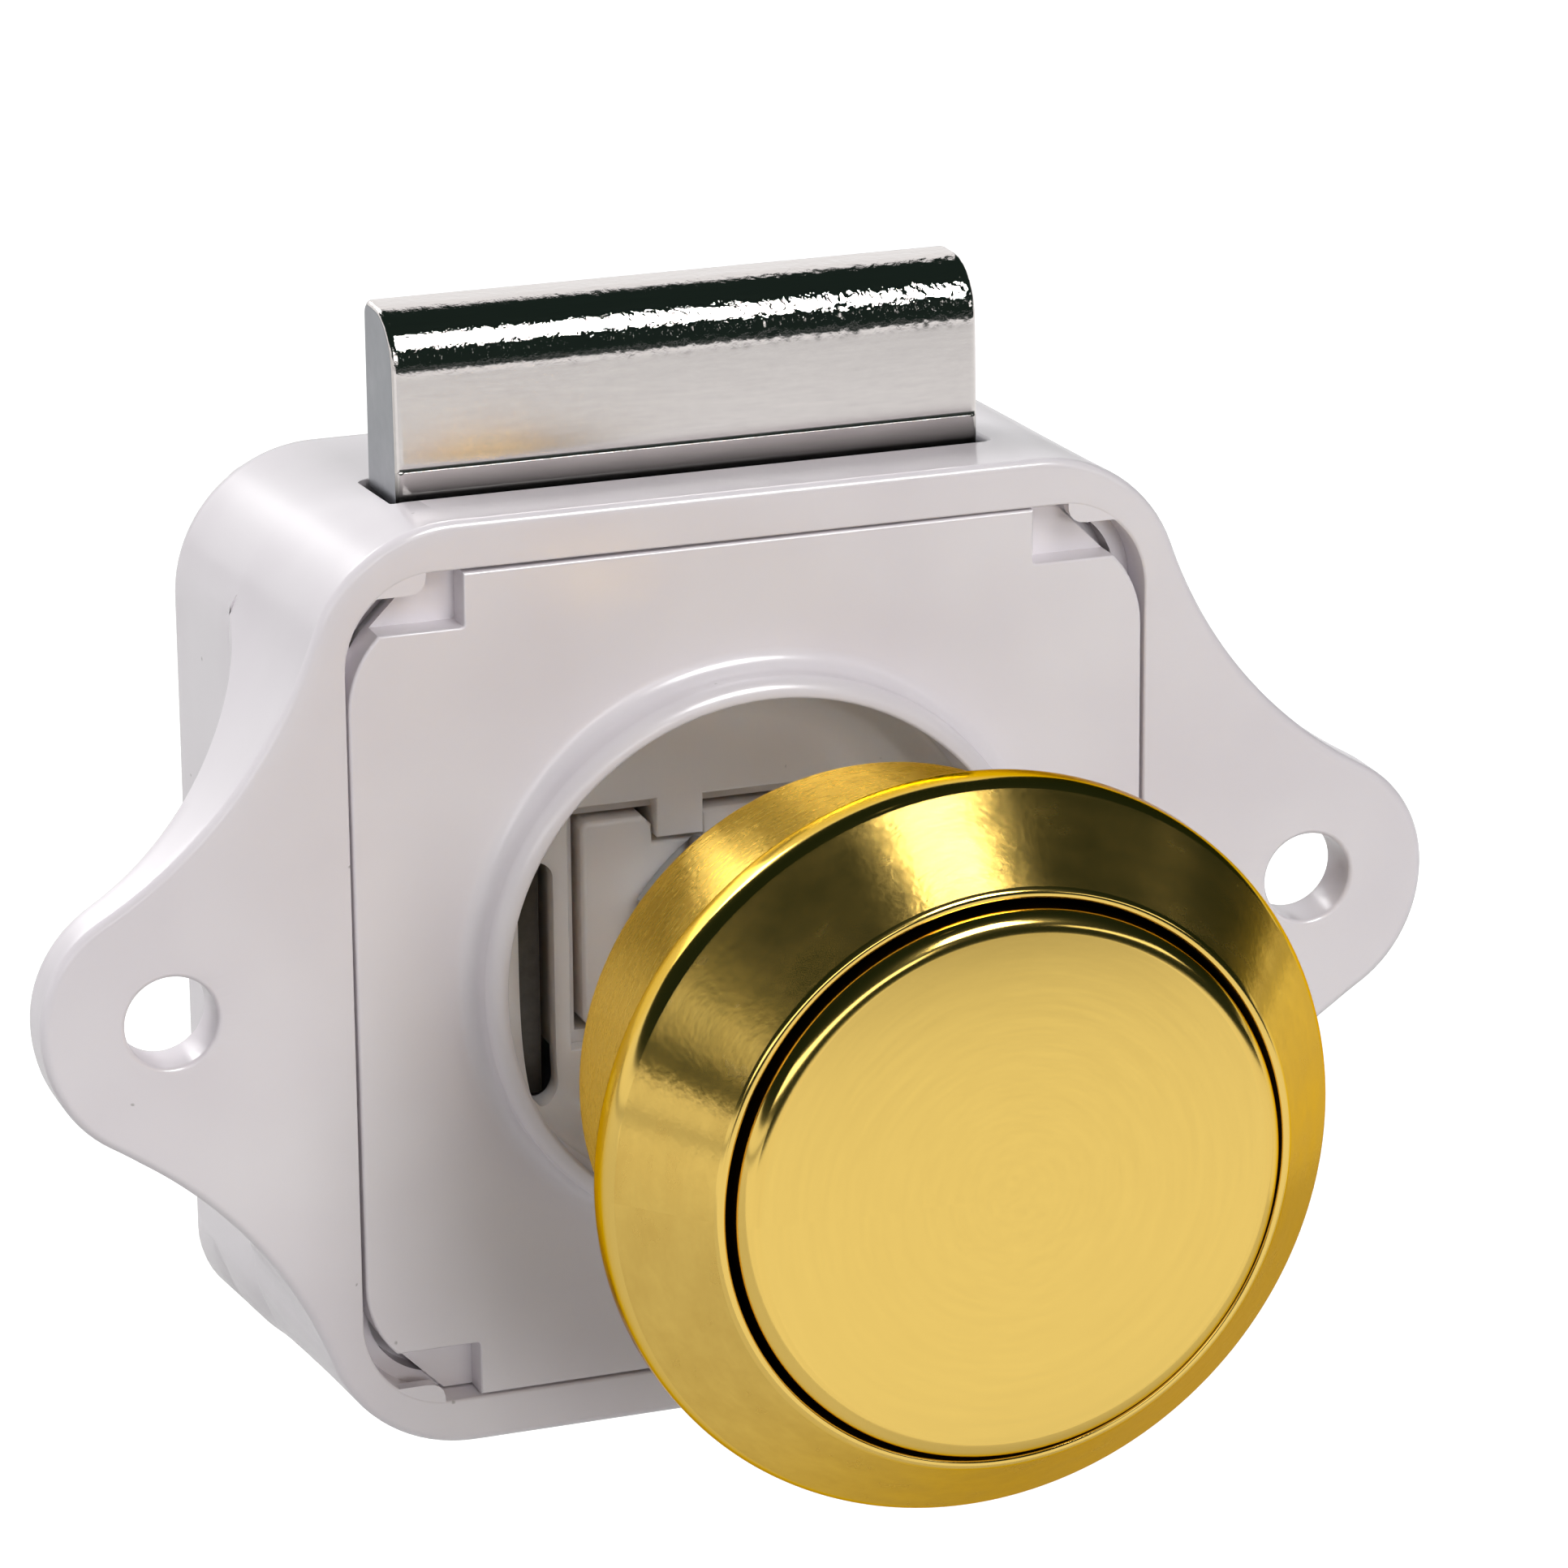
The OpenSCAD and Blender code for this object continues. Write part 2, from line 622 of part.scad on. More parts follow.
module sled() {
    color(cream)
        difference() {
            translate([mech_x - sled_w / 2, sled_front, -sled_low])
                cube([sled_w, sled_l, sled_low + sled_top]);
            translate([rib_x - rib_w / 2 - rib_gap, sled_front - 1, sled_top - groove_d])
                cube([rib_w + 2 * rib_gap, sled_l + 2, groove_d + 1]);
            bar_y(0, 0, stem_end_d / 2 + fit_gap, sled_front - 1, sled_front + stem_end_l + 0.2);
            for (side = [-1, 1])
                bar_y(mech_x + side * spring_x, spring_z, spring_od / 2 + 0.12, spring_front, sled_back + 1);
            translate([mech_x - sled_w, drive_pin_y, drive_pin_z])
                rotate([0, 90, 0])
                    cylinder(r = drive_pin_r + fit_gap, h = 2 * sled_w);
            translate([mech_x - catch_w, catch_pivot_y - catch_w, -sled_low - 1])
                cube([catch_w * 1.8 + catch_swing, catch_l + catch_w * 2, catch_top + 0.2 + sled_low + 1]);
            translate([mech_x, catch_pivot_y, -sled_low])
                cylinder(r = catch_pin_r + fit_gap, h = catch_pin_top + 0.1 + sled_low);
        }
}

module drive_pin() {
    color(steel)
        translate([mech_x - arm_out - run_gap, drive_pin_y, drive_pin_z])
            rotate([0, 90, 0])
                cylinder(r = drive_pin_r, h = 2 * (arm_out + run_gap));
}

module catch_pivot_pin() {
    color(steel)
        translate([mech_x, catch_pivot_y, -sled_low + 0.1])
            cylinder(r = catch_pin_r, h = catch_pin_top + sled_low - 0.1);
}

module catch_arm() {
    low = catch_top - catch_t;
    half_w = catch_w / 2;
    color(steel)
        difference() {
            union() {
                translate([mech_x, catch_pivot_y, low])
                    cylinder(r = catch_w * 0.8, h = catch_t);
                translate([mech_x - half_w, catch_pivot_y, low])
                    cube([2 * half_w, catch_l, catch_t]);
                translate([mech_x, catch_pivot_y + catch_l, low])
                    cylinder(r = half_w, h = catch_t);
                translate([mech_x, catch_pivot_y + catch_l, cam_top - cam_t + 0.6])
                    cylinder(r = catch_tip_r, h = low - cam_top + cam_t);
            }
            translate([mech_x, catch_pivot_y, low - 1])
                cylinder(r = catch_pin_r + fit_gap, h = catch_t + 2);
        }
}

module bolt() {
    z0 = bolt_shoulder;
    y1 = bolt_front + bolt_t;
    color(chrome)
        difference() {
            translate([mech_x, 0, 0]) {
                translate([-bolt_w / 2, 0, 0])
                    rotate([90, 0, 90])
                        linear_extrude(bolt_w)
                            polygon(concat([[y1, z0], [bolt_front, z0]],
                                arc([bolt_front + bolt_round_r, bolt_top - bolt_round_r], bolt_round_r,
                                    180, 90, 10),
                                arc([y1 - bolt_back_r, bolt_top - bolt_back_r], bolt_back_r, 90, 0, 4)));
                translate([-bolt_w / 2 + tongue_step, tongue_y0, bar_low])
                    cube([bolt_w - 2 * tongue_step, tongue_t, z0 - bar_low + eps]);
            }
            for (side = [-1, 1])
                bar_y(mech_x + side * rivet_x, rivet_z, rivet_r + fit_gap, tongue_y0 - 1, tongue_y1 + 1);
        }
}

module bolt_fork() {
    // Where the drive pin runs in the arms, from pushed in to released
    a = [drive_pin_y + knob_push, drive_pin_z - bolt_rate * knob_push];
    b = [drive_pin_y - knob_travel, drive_pin_z + bolt_travel];
    mouth = a + 2.5 * (a - b) / norm(a - b);
    notch_z = bar_low - run_gap;
    color(dark_steel)
        difference() {
            union() {
                for (side = [-1, 1])
                    translate([mech_x + side * (arm_in + arm_t / 2) - arm_t / 2, 0, 0])
                        rotate([90, 0, 90])
                            linear_extrude(arm_t)
                                polygon([[arm_front, -arm_low], [arm_back, -arm_low],
                                    [arm_back, notch_z - 3], [bar_y0 + bar_t, notch_z],
                                    [bar_y0 + bar_t, bar_top], [bar_y0, bar_top],
                                    [bar_y0, notch_z], [arm_front, notch_z]]);
                translate([mech_x - arm_in - eps, bar_y0, bar_low])
                    cube([2 * (arm_in + eps), bar_t, bar_h]);
            }
            translate([mech_x - arm_out - 1, 0, 0])
                rotate([90, 0, 90])
                    linear_extrude(2 * arm_out + 2)
                        polygon(slot_points(mouth, b, drive_pin_r + 0.22));
            for (side = [-1, 1])
                bar_y(mech_x + side * rivet_x, rivet_z, rivet_r + fit_gap, bar_y0 - 1, bar_y0 + bar_t + 1);
        }
}

module bolt_rivet(side) {
    color(steel) {
        bar_y(mech_x + side * rivet_x, rivet_z, rivet_r, tongue_y0, bar_y0 + bar_t);
        bar_y(mech_x + side * rivet_x, rivet_z, rivet_head_r, tongue_y0 - rivet_head_t, tongue_y0);
        bar_y(mech_x + side * rivet_x, rivet_z, rivet_head_r, bar_y0 + bar_t, bar_y0 + bar_t + rivet_head_t);
    }
}

module bolt_rivet_left() {
    bolt_rivet(-1);
}

module bolt_rivet_right() {
    bolt_rivet(1);
}

lock_case();
front_cover();
guide_housing();
cam_plate();
spring_pin_left();
spring_pin_right();
return_spring_left();
return_spring_right();
rosette();
push_button();
button_stem();
stem_nut();
sled();
drive_pin();
catch_pivot_pin();
catch_arm();
bolt();
bolt_fork();
bolt_rivet_left();
bolt_rivet_right();
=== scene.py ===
import math

import bmesh
import bpy
import numpy as np
from mathutils import Matrix


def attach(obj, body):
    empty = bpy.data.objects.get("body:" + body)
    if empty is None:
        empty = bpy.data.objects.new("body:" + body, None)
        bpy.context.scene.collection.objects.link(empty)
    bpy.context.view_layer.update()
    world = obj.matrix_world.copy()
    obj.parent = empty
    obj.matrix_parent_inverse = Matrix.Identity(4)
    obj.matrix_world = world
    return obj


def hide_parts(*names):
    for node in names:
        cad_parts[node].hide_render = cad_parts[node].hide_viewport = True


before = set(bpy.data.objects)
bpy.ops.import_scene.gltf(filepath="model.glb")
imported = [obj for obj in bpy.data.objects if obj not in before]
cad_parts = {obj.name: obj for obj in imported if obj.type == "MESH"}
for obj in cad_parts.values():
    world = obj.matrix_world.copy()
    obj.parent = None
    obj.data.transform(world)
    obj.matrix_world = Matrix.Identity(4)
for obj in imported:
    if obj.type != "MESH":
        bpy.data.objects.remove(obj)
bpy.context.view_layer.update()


# Camera. The photograph was taken from the left of the knob and from above, with a long lens.
CAMERA_TURN, CAMERA_TILT, CAMERA_ROLL = math.radians(19.805), math.radians(18.265), math.radians(0.431)
CAMERA_OFFSET = np.array([-1.248, 7.371, 306.370])
PHOTO_WIDTH, FOCAL_PIXELS, SENSOR = 1932, 8426.757, 36.0


def camera_axes(turn, tilt, roll):
    """Rows are the image's right, down and forward directions for a camera turned, tilted down and
    rolled."""
    forward = np.array([math.sin(turn) * math.cos(tilt), math.cos(turn) * math.cos(tilt), -math.sin(tilt)])
    right = np.array([math.cos(turn), -math.sin(turn), 0.0])
    down = np.cross(forward, right)
    return np.array([math.cos(roll) * right + math.sin(roll) * down,
                     -math.sin(roll) * right + math.cos(roll) * down, forward])


axes = camera_axes(CAMERA_TURN, CAMERA_TILT, CAMERA_ROLL)
camera = bpy.data.objects.new("camera", bpy.data.cameras.new("camera"))
camera.data.sensor_width = SENSOR
camera.data.lens = FOCAL_PIXELS * SENSOR / PHOTO_WIDTH
camera.data.clip_start, camera.data.clip_end = 0.01, 20.0
pose = np.eye(4)
pose[:3, 0], pose[:3, 1], pose[:3, 2] = axes[0], -axes[1], -axes[2]
pose[:3, 3] = -axes.T @ CAMERA_OFFSET / 1000
camera.matrix_world = Matrix(pose.tolist())
bpy.context.collection.objects.link(camera)
bpy.context.scene.camera = camera


# Studio. A pale floor well below the lock and white all round. Above and in front is a dark room with
# softboxes, which only gloss sees: it gives the metal its dark upper half and its bright patches.
FLOOR_Z, FLOOR_SIZE = -75.0, 12000.0
WHITE, FLOOR_WHITE, ROOM_DARK = "#FFFFFF", "#BFBFBE", "#1D2823"
SOFT_LIGHT, SEEN_LIFT, GLOSS_LIFT = 0.12, 0.7, 0.3


def linear(colour):
    """An sRGB hex value as linear RGBA: channels up to 0.04045 are divided by 12.92, others follow the 2.4
    power."""
    channels = np.array([int(colour[i:i + 2], 16) for i in (1, 3, 5)]) / 255
    channels = np.where(channels <= 0.04045, channels / 12.92, ((channels + 0.055) / 1.055) ** 2.4)
    return (*channels.tolist(), 1.0)


def add(tree, kind, settings=None, links=None):
    """Adds a node of a kind. settings names its sockets or properties, links joins its inputs to other
    outputs."""
    node = tree.nodes.new("ShaderNode" + kind)
    for key, value in (settings or {}).items():
        if isinstance(key, int) or key in node.inputs:
            node.inputs[key].default_value = value
        else:
            setattr(node, key, value)
    for key, source in (links or {}).items():
        tree.links.new(source, node.inputs[key])
    return node


def new_material(name):
    """An empty node material, and its tree."""
    made = bpy.data.materials.new(name)
    made.use_nodes = True
    made.node_tree.nodes.clear()
    return made, made.node_tree


def mesh_object(name, points, faces):
    """A mesh object from an array of points in millimetres and a list of faces."""
    mesh = bpy.data.meshes.new(name)
    mesh.from_pydata((points / 1000).tolist(), [], faces)
    mesh.update()
    made = bpy.data.objects.new(name, mesh)
    bpy.context.collection.objects.link(made)
    return made


world = bpy.data.worlds.new("studio")
bpy.context.scene.world = world
world.use_nodes = True
world.node_tree.nodes.clear()
ray = add(world.node_tree, "LightPath")
seen = add(world.node_tree, "Math", {"operation": "MAXIMUM"},
           {0: ray.outputs["Is Camera Ray"], 1: ray.outputs["Is Glossy Ray"]})
seen = add(world.node_tree, "Math", {"operation": "MAXIMUM"},
           {0: seen.outputs[0], 1: ray.outputs["Is Transmission Ray"]})
soft = add(world.node_tree, "Background", {"Color": linear(WHITE), "Strength": SOFT_LIGHT})
plain = add(world.node_tree, "Background", {"Color": linear(WHITE), "Strength": 1.0})
both = add(world.node_tree, "MixShader", {}, {0: seen.outputs[0], 1: soft.outputs[0], 2: plain.outputs[0]})
add(world.node_tree, "OutputWorld", {}, {"Surface": both.outputs[0]})

# The floor is matt white card: it keeps the shadow, and a little light of its own brings it to white
floor = mesh_object("floor", np.array([[-1, -1, 0], [1, -1, 0], [1, 1, 0], [-1, 1, 0]]) * FLOOR_SIZE / 2
                    + np.array([0, 0, FLOOR_Z]), [(0, 1, 2, 3)])
card, tree = new_material("white_floor_card")
ray = add(tree, "LightPath")
matt = add(tree, "BsdfDiffuse", {"Color": linear(FLOOR_WHITE), "Roughness": 0.5})
lift = add(tree, "Math", {"operation": "MULTIPLY", 1: GLOSS_LIFT}, {0: ray.outputs["Is Glossy Ray"]})
lift = add(tree, "Math", {"operation": "MULTIPLY_ADD", 1: SEEN_LIFT},
           {0: ray.outputs["Is Camera Ray"], 2: lift.outputs[0]})
glow = add(tree, "Emission", {"Color": linear(WHITE)}, {"Strength": lift.outputs[0]})
both = add(tree, "AddShader", {}, {0: matt.outputs[0], 1: glow.outputs[0]})
add(tree, "OutputMaterial", {}, {"Surface": both.outputs[0]})
floor.data.materials.append(card)


def sky_patch(name, turn, low, high, radius, steps):
    """Part of a sphere round the lock: point = radius * (sin t cos e, -cos t cos e, sin e). The turn t from
    the front runs over a range, and the rise e from a low edge, which may change with t, to a high one, in
    degrees. The attribute edge holds each point's rise above the low edge."""
    t = np.linspace(*turn, steps[0])
    low = np.interp(t, *low) if np.ndim(low) else np.full(len(t), low)
    share = np.linspace(0, 1, steps[1])[:, None]
    e = low + (high - low) * share
    t = np.broadcast_to(t, e.shape)
    tr, er = np.radians(t), np.radians(e)
    points = np.stack([np.sin(tr) * np.cos(er), -np.cos(tr) * np.cos(er), np.sin(er)], -1)
    row, column = np.mgrid[0:steps[1] - 1, 0:steps[0] - 1]
    start = (row * steps[0] + column).ravel()
    faces = np.stack([start, start + 1, start + steps[0] + 1, start + steps[0]], 1)
    made = mesh_object(name, radius * points.reshape(-1, 3), faces.tolist())
    above = made.data.attributes.new("edge", "FLOAT", "POINT")
    above.data.foreach_set("value", (e - low).ravel().astype(np.float32))
    return made


def studio_card(made, colour, strength, blur=0.0):
    """Makes a sky patch a card that only reflections see. Over the first degrees above its low edge, as
    many as blur says, it fades in from nothing."""
    sheet, tree = new_material(made.name)
    shader = add(tree, "Emission", {"Color": linear(colour), "Strength": strength})
    if blur:
        edge = add(tree, "Attribute", {"attribute_name": "edge"})
        share = add(tree, "MapRange", {"interpolation_type": "SMOOTHSTEP", "From Max": blur},
                    {"Value": edge.outputs["Fac"]})
        clear = add(tree, "BsdfTransparent")
        shader = add(tree, "MixShader", {}, {0: share.outputs[0], 1: clear.outputs[0], 2: shader.outputs[0]})
    add(tree, "OutputMaterial", {}, {"Surface": shader.outputs[0]})
    made.data.materials.append(sheet)
    made.visible_camera = made.visible_diffuse = made.visible_shadow = False
    made.visible_transmission = made.visible_volume_scatter = False


# Low edge of the dark room against the turn from the front, both in degrees
ROOM_EDGE = ([-150, -100, -50, -30, 60, 110, 150], [14, 9, 4, -2, -2, 2, 8])
# Each card's turn, low and high edge, radius and steps, and its colour, strength and blur
CARDS = {"dark_room": ((-150, 150), ROOM_EDGE, 89, 4000, (61, 25), ROOM_DARK, 1.0, 2.0),
         "dark_room_back": ((150, 210), 42, 89, 4000, (13, 13), ROOM_DARK, 1.0, 6.0),
         "dark_room_low": ((-35, 80), -11, 1, 560, (24, 10), ROOM_DARK, 1.0, 7.0),
         "softbox_front": ((4, 30), 39, 57, 3000, (13, 13), WHITE, 34.0, 0.0),
         "strip_left": ((-58, 6), 12, 24, 3000, (33, 7), WHITE, 2.5, 0.0),
         "strip_right": ((30, 62), 14, 22, 3000, (17, 7), WHITE, 1.6, 0.0),
         "softbox_behind": ((-172, -148), 15, 25, 3000, (13, 13), WHITE, 3.0, 0.0),
         "softbox_behind_high": ((-167, -150), 26, 38, 3000, (13, 13), WHITE, 11.0, 0.0)}
for name, (*patch, colour, strength, blur) in CARDS.items():
    studio_card(sky_patch(name, *patch), colour, strength, blur)
# White sheets lie on the floor in front, a hand's width from the lock, and on the right
SHEETS = {"white_sheet": (-900, 900, -1200, -105), "white_sheet_right": (150, 1500, -100, 900)}
for name, (x0, x1, y0, y1) in SHEETS.items():
    sheet = np.insert(np.array([(x0, y0), (x1, y0), (x1, y1), (x0, y1)], float), 2, FLOOR_Z + 1, axis=1)
    studio_card(mesh_object(name, sheet, [(0, 1, 2, 3)]), WHITE, 1.0)


def softbox(name, turn, rise, size, power):
    """A rectangular lamp on the same sphere as the cards, aimed at the lock. Gloss doesn't see it."""
    lamp = bpy.data.lights.new(name, "AREA")
    lamp.shape, lamp.size, lamp.size_y, lamp.energy = "RECTANGLE", size[0], size[1], power
    made = bpy.data.objects.new(name, lamp)
    t, e = math.radians(turn), math.radians(rise)
    back = np.array([math.sin(t) * math.cos(e), -math.cos(t) * math.cos(e), math.sin(e)])
    side = np.cross([0, 0, 1], back)
    side /= np.linalg.norm(side)
    pose = np.eye(4)
    pose[:3, :3] = np.stack([side, np.cross(back, side), back], 1)
    pose[:3, 3] = back * LAMP_DISTANCE
    made.matrix_world = Matrix(pose.tolist())
    made.visible_glossy = False
    bpy.context.collection.objects.link(made)


# Sizes and the distance are in metres, powers in watts
LAMP_DISTANCE = 1.3
softbox("key", 17, 42, (0.62, 0.7), 7.2)
softbox("fill", 3, 14, (0.4, 0.3), 4.4)
softbox("left", -100, 20, (0.9, 0.7), 5.5)
softbox("rim", -144, 50, (0.9, 0.6), 8.4)
bpy.context.scene.view_settings.view_transform = "Standard"


# Lock case. One moulding of white ABS: a box with drafted sides whose front edge carries two screw ears.
# Each ear sweeps back into the side of the box. A recess takes the cover, with a tab over each of its
# corners.
CASE_MIDDLE_Z = -0.3
PLATE_HALF_W, PLATE_TOP, PLATE_CORNER_R, SWEEP_R = 20.5, 21.3, 6.9, 21.7
EAR_X, EAR_END_R, EAR_T, FLARE_R, FLARE_X = 27.0, 5.8, 2.6, 10.0, 30.8
CASE_DEPTH, BACK_HALF_W, BACK_TOP, BACK_LOW = 22.0, 21.05, 20.0, 21.9
BACK_CORNER_R, BACK_LOW_CORNER_R, BACK_EDGE_R = 6.8, 4.0, 2.5
RECESS_HALF_W, RECESS_TOP, RECESS_CORNER_R, RECESS_DEPTH = 18.72, 19.12, 4.2, 2.0
CAVITY_HALF_W, CAVITY_TOP, CAVITY_CORNER_R, CAVITY_DEPTH = 18.02, 18.42, 3.4, 20.5
EDGE_R, RECESS_EDGE_R, HOLE_EDGE_R, TAB_EDGE_R, TAB_SINK, TAB_T = 0.42, 0.12, 0.22, 0.07, 0.02, 0.8
EAR_HOLE_R, SCREW_SEAT_R, SEAT_DROP = 2.1, 4.3, 0.03
POST_R, POST_INSET, POST_FRONT = 1.5, 1.1, 3.2
SLIDE_X, BOLT_GAP_HALF_W, BOLT_GAP_FRONT, BOLT_GAP_BACK = -0.9, 14.0, 5.2, 10.3
EAR_COLUMNS, SWEEP_COLUMNS, CORNER_COLUMNS, TOP_COLUMNS = 14, 30, 16, 8
SIDE_COLUMNS = EAR_COLUMNS + SWEEP_COLUMNS


def arc(centre, radius, start, end, count):
    """Points centre + radius * (cos a, sin a) for count angles a from start to end, in degrees."""
    a = np.radians(np.linspace(start, end, count))
    return np.array(centre) + radius * np.stack([np.cos(a), np.sin(a)], -1)


def skin(name, rings, last_joins_first=False):
    """A closed skin over rings of points in millimetres, an array of (ring, point, xyz). Quads join each
    ring to the next; the end rings are filled, or joined where the rings go round. Faces are turned to
    point outwards."""
    count, around = rings.shape[:2]
    rows = count if last_joins_first else count - 1
    row, column = np.mgrid[0:rows, 0:around]
    below, above = row * around, (row + 1) % count * around
    after = (column + 1) % around
    faces = np.stack([below + column, below + after, above + after, above + column], -1)
    faces = faces.reshape(-1, 4).tolist()
    if not last_joins_first:
        faces += [list(range(around))[::-1], list(range((count - 1) * around, count * around))]
    made = mesh_object(name, rings.reshape(-1, 3), faces)
    work = bmesh.new()
    work.from_mesh(made.data)
    bmesh.ops.remove_doubles(work, verts=work.verts, dist=2e-6)
    bmesh.ops.dissolve_degenerate(work, dist=1e-6, edges=work.edges)
    if work.calc_volume(signed=True) < 0:
        bmesh.ops.reverse_faces(work, faces=work.faces)
    work.to_mesh(made.data)
    work.free()
    return made


def touching(a, ra, b, rb, r):
    """Centre of a circle of radius r that touches two circles from outside, on their outer side."""
    a, b = np.array(a), np.array(b)
    d = np.linalg.norm(b - a)
    along = ((r + ra) ** 2 - (r + rb) ** 2 + d * d) / (2 * d)
    u = (b - a) / d
    return a + along * u + math.sqrt((r + ra) ** 2 - along ** 2) * np.array([-u[1], u[0]])


CORNER_C = (PLATE_HALF_W - PLATE_CORNER_R, PLATE_TOP - PLATE_CORNER_R)
SWEEP_C = touching(CORNER_C, PLATE_CORNER_R, (EAR_X, 0), EAR_END_R, SWEEP_R)
CORNER_ANGLE = math.degrees(math.atan2(SWEEP_C[1] - CORNER_C[1], SWEEP_C[0] - CORNER_C[0]))
EAR_ANGLE = math.degrees(math.atan2(SWEEP_C[1], SWEEP_C[0] - EAR_X))

# Quarters of the plate's outline, from the ear's tip to the middle of the top. The lower one has its
# heights measured downwards, and its ear is a little deeper because the case hangs lower on the knob's
# axis.
upper_plate = np.concatenate([
    arc((EAR_X, 0), EAR_END_R, 0, EAR_ANGLE, EAR_COLUMNS + 1)[:-1],
    arc(SWEEP_C, SWEEP_R, EAR_ANGLE + 180, CORNER_ANGLE + 180, SWEEP_COLUMNS + 1)[:-1],
    arc(CORNER_C, PLATE_CORNER_R, CORNER_ANGLE, 90, CORNER_COLUMNS + 1)[:-1],
    np.stack([np.linspace(CORNER_C[0], 0, TOP_COLUMNS + 1), np.full(TOP_COLUMNS + 1, PLATE_TOP)], -1)])
DROP = -2 * CASE_MIDDLE_Z
lower_plate = np.stack([upper_plate[:, 0], np.where(upper_plate[:, 1] > EAR_END_R, upper_plate[:, 1] + DROP,
                                                    upper_plate[:, 1] * (EAR_END_R + DROP) / EAR_END_R)], -1)
PLATES = (upper_plate, lower_plate)


def box_quarter(low, half_w, top, corner_r):
    """One quarter of a round-cornered rectangle. Up its side the points have the heights of the plate's
    outline; they are evenly spaced round its corner and along its top."""
    z = np.minimum(PLATES[low][:SIDE_COLUMNS + 1, 1], top)
    cx, cz = half_w - corner_r, top - corner_r
    side_x = cx + np.sqrt(np.maximum(corner_r ** 2 - np.maximum(z - cz, 0) ** 2, 0))
    start = math.degrees(math.asin(min(max(z[-1] - cz, 0) / corner_r, 1)))
    corner = arc((cx, cz), corner_r, start, 90, CORNER_COLUMNS + 1)
    if z[-1] < cz:
        steps = 4
        rise = np.stack([np.full(steps, half_w), np.linspace(z[-1], cz, steps + 1)[:-1]], -1)
        corner = np.concatenate([rise, arc((cx, cz), corner_r, 0, 90, CORNER_COLUMNS + 1 - steps)])
    flat = np.stack([np.linspace(cx, 0, TOP_COLUMNS + 1), np.full(TOP_COLUMNS + 1, top)], -1)
    return np.concatenate([np.stack([side_x, z], -1)[:-1], corner[:-1], flat])


def all_round(quarter, depth):
    """A closed ring of (x, y, z) from quarter(low), the outline in the upper and the lower half, at a depth
    that may be a function of low too. The quarters are mirrored to the left."""
    halves = []
    for low in (False, True):
        flat = quarter(low)
        y = np.broadcast_to(depth(low) if callable(depth) else depth, (len(flat),))
        halves.append(np.stack([flat[:, 0], y, flat[:, 1] * (-1 if low else 1)], -1))
    up, down = halves
    flip = [-1, 1, 1]
    return np.concatenate([up, up[-2::-1] * flip, down[1:] * flip, down[-2:0:-1]])


def inset(quarter, distance):
    """The quarter moved inwards at right angles to itself, kept on the axes at its two ends."""
    ahead = np.gradient(quarter, axis=0)
    ahead[0], ahead[-1] = (0, 1), (-1, 0)
    normal = np.stack([ahead[:, 1], -ahead[:, 0]], -1) / np.linalg.norm(ahead, axis=1, keepdims=True)
    return quarter - normal * np.asarray(distance).reshape(-1, 1)


def middle_box(half_w, top, corner_r):
    """A quarter outline, as a function of low, of a box about the middle of the case."""
    return lambda low: box_quarter(low, half_w, top + DROP * low, corner_r)


def wall_quarter(low, y):
    """The box's outline at depth y: it widens and lowers evenly from the plate's corners to its back."""
    share = np.clip(y / (CASE_DEPTH - BACK_EDGE_R), 0, 1)
    front, back = PLATE_TOP + DROP * low, BACK_LOW if low else BACK_TOP
    corner = BACK_LOW_CORNER_R if low else BACK_CORNER_R
    half_w = PLATE_HALF_W + (BACK_HALF_W - PLATE_HALF_W) * share
    return box_quarter(low, half_w, front + (back - front) * share,
                       PLATE_CORNER_R + (corner - PLATE_CORNER_R) * share)


def ear_back(x):
    """Depth of an ear's back at x: flat near the end, then a quarter circle up to the side of the case."""
    swing = np.clip(FLARE_X - x, 0, FLARE_R)
    return EAR_T + FLARE_R - np.sqrt(FLARE_R ** 2 - swing ** 2)


def ear_share():
    """1 where the plate's outline stands clear of the box, falling to 0 where the two meet."""
    return np.clip(upper_plate[:, 0] - BACK_HALF_W, 0, 1)


def side_points(low, y, shrink=0.0):
    """Outer of the plate's outline, moved in by shrink, and the box's wall at depth y, point by point."""
    share = np.clip(np.broadcast_to(y, (len(upper_plate),)) / (CASE_DEPTH - BACK_EDGE_R), 0, 1)[:, None]
    front, back = wall_quarter(low, 0), wall_quarter(low, CASE_DEPTH)
    wall = front + (back - front) * share
    within = inset(PLATES[low], np.broadcast_to(shrink, (len(upper_plate),)))
    is_side = (np.arange(len(upper_plate)) <= SIDE_COLUMNS)[:, None]
    return np.where(is_side & (within[:, :1] > wall[:, :1]), within, wall)


def back_length(x):
    """Distance along the ear's back from the side of the box to x: radius times angle, then straight on."""
    swing = np.clip((FLARE_X - x) / FLARE_R, 0, 1)
    return np.where(x < FLARE_X, FLARE_R * np.arccos(swing), FLARE_R * math.pi / 2 + x - FLARE_X)


def back_point(length):
    """The x and depth of the ear's back at that distance."""
    a = np.clip(length / FLARE_R, 0, math.pi / 2)
    return (FLARE_X - FLARE_R * np.cos(a) + np.maximum(length - FLARE_R * math.pi / 2, 0),
            EAR_T + FLARE_R - FLARE_R * np.sin(a))


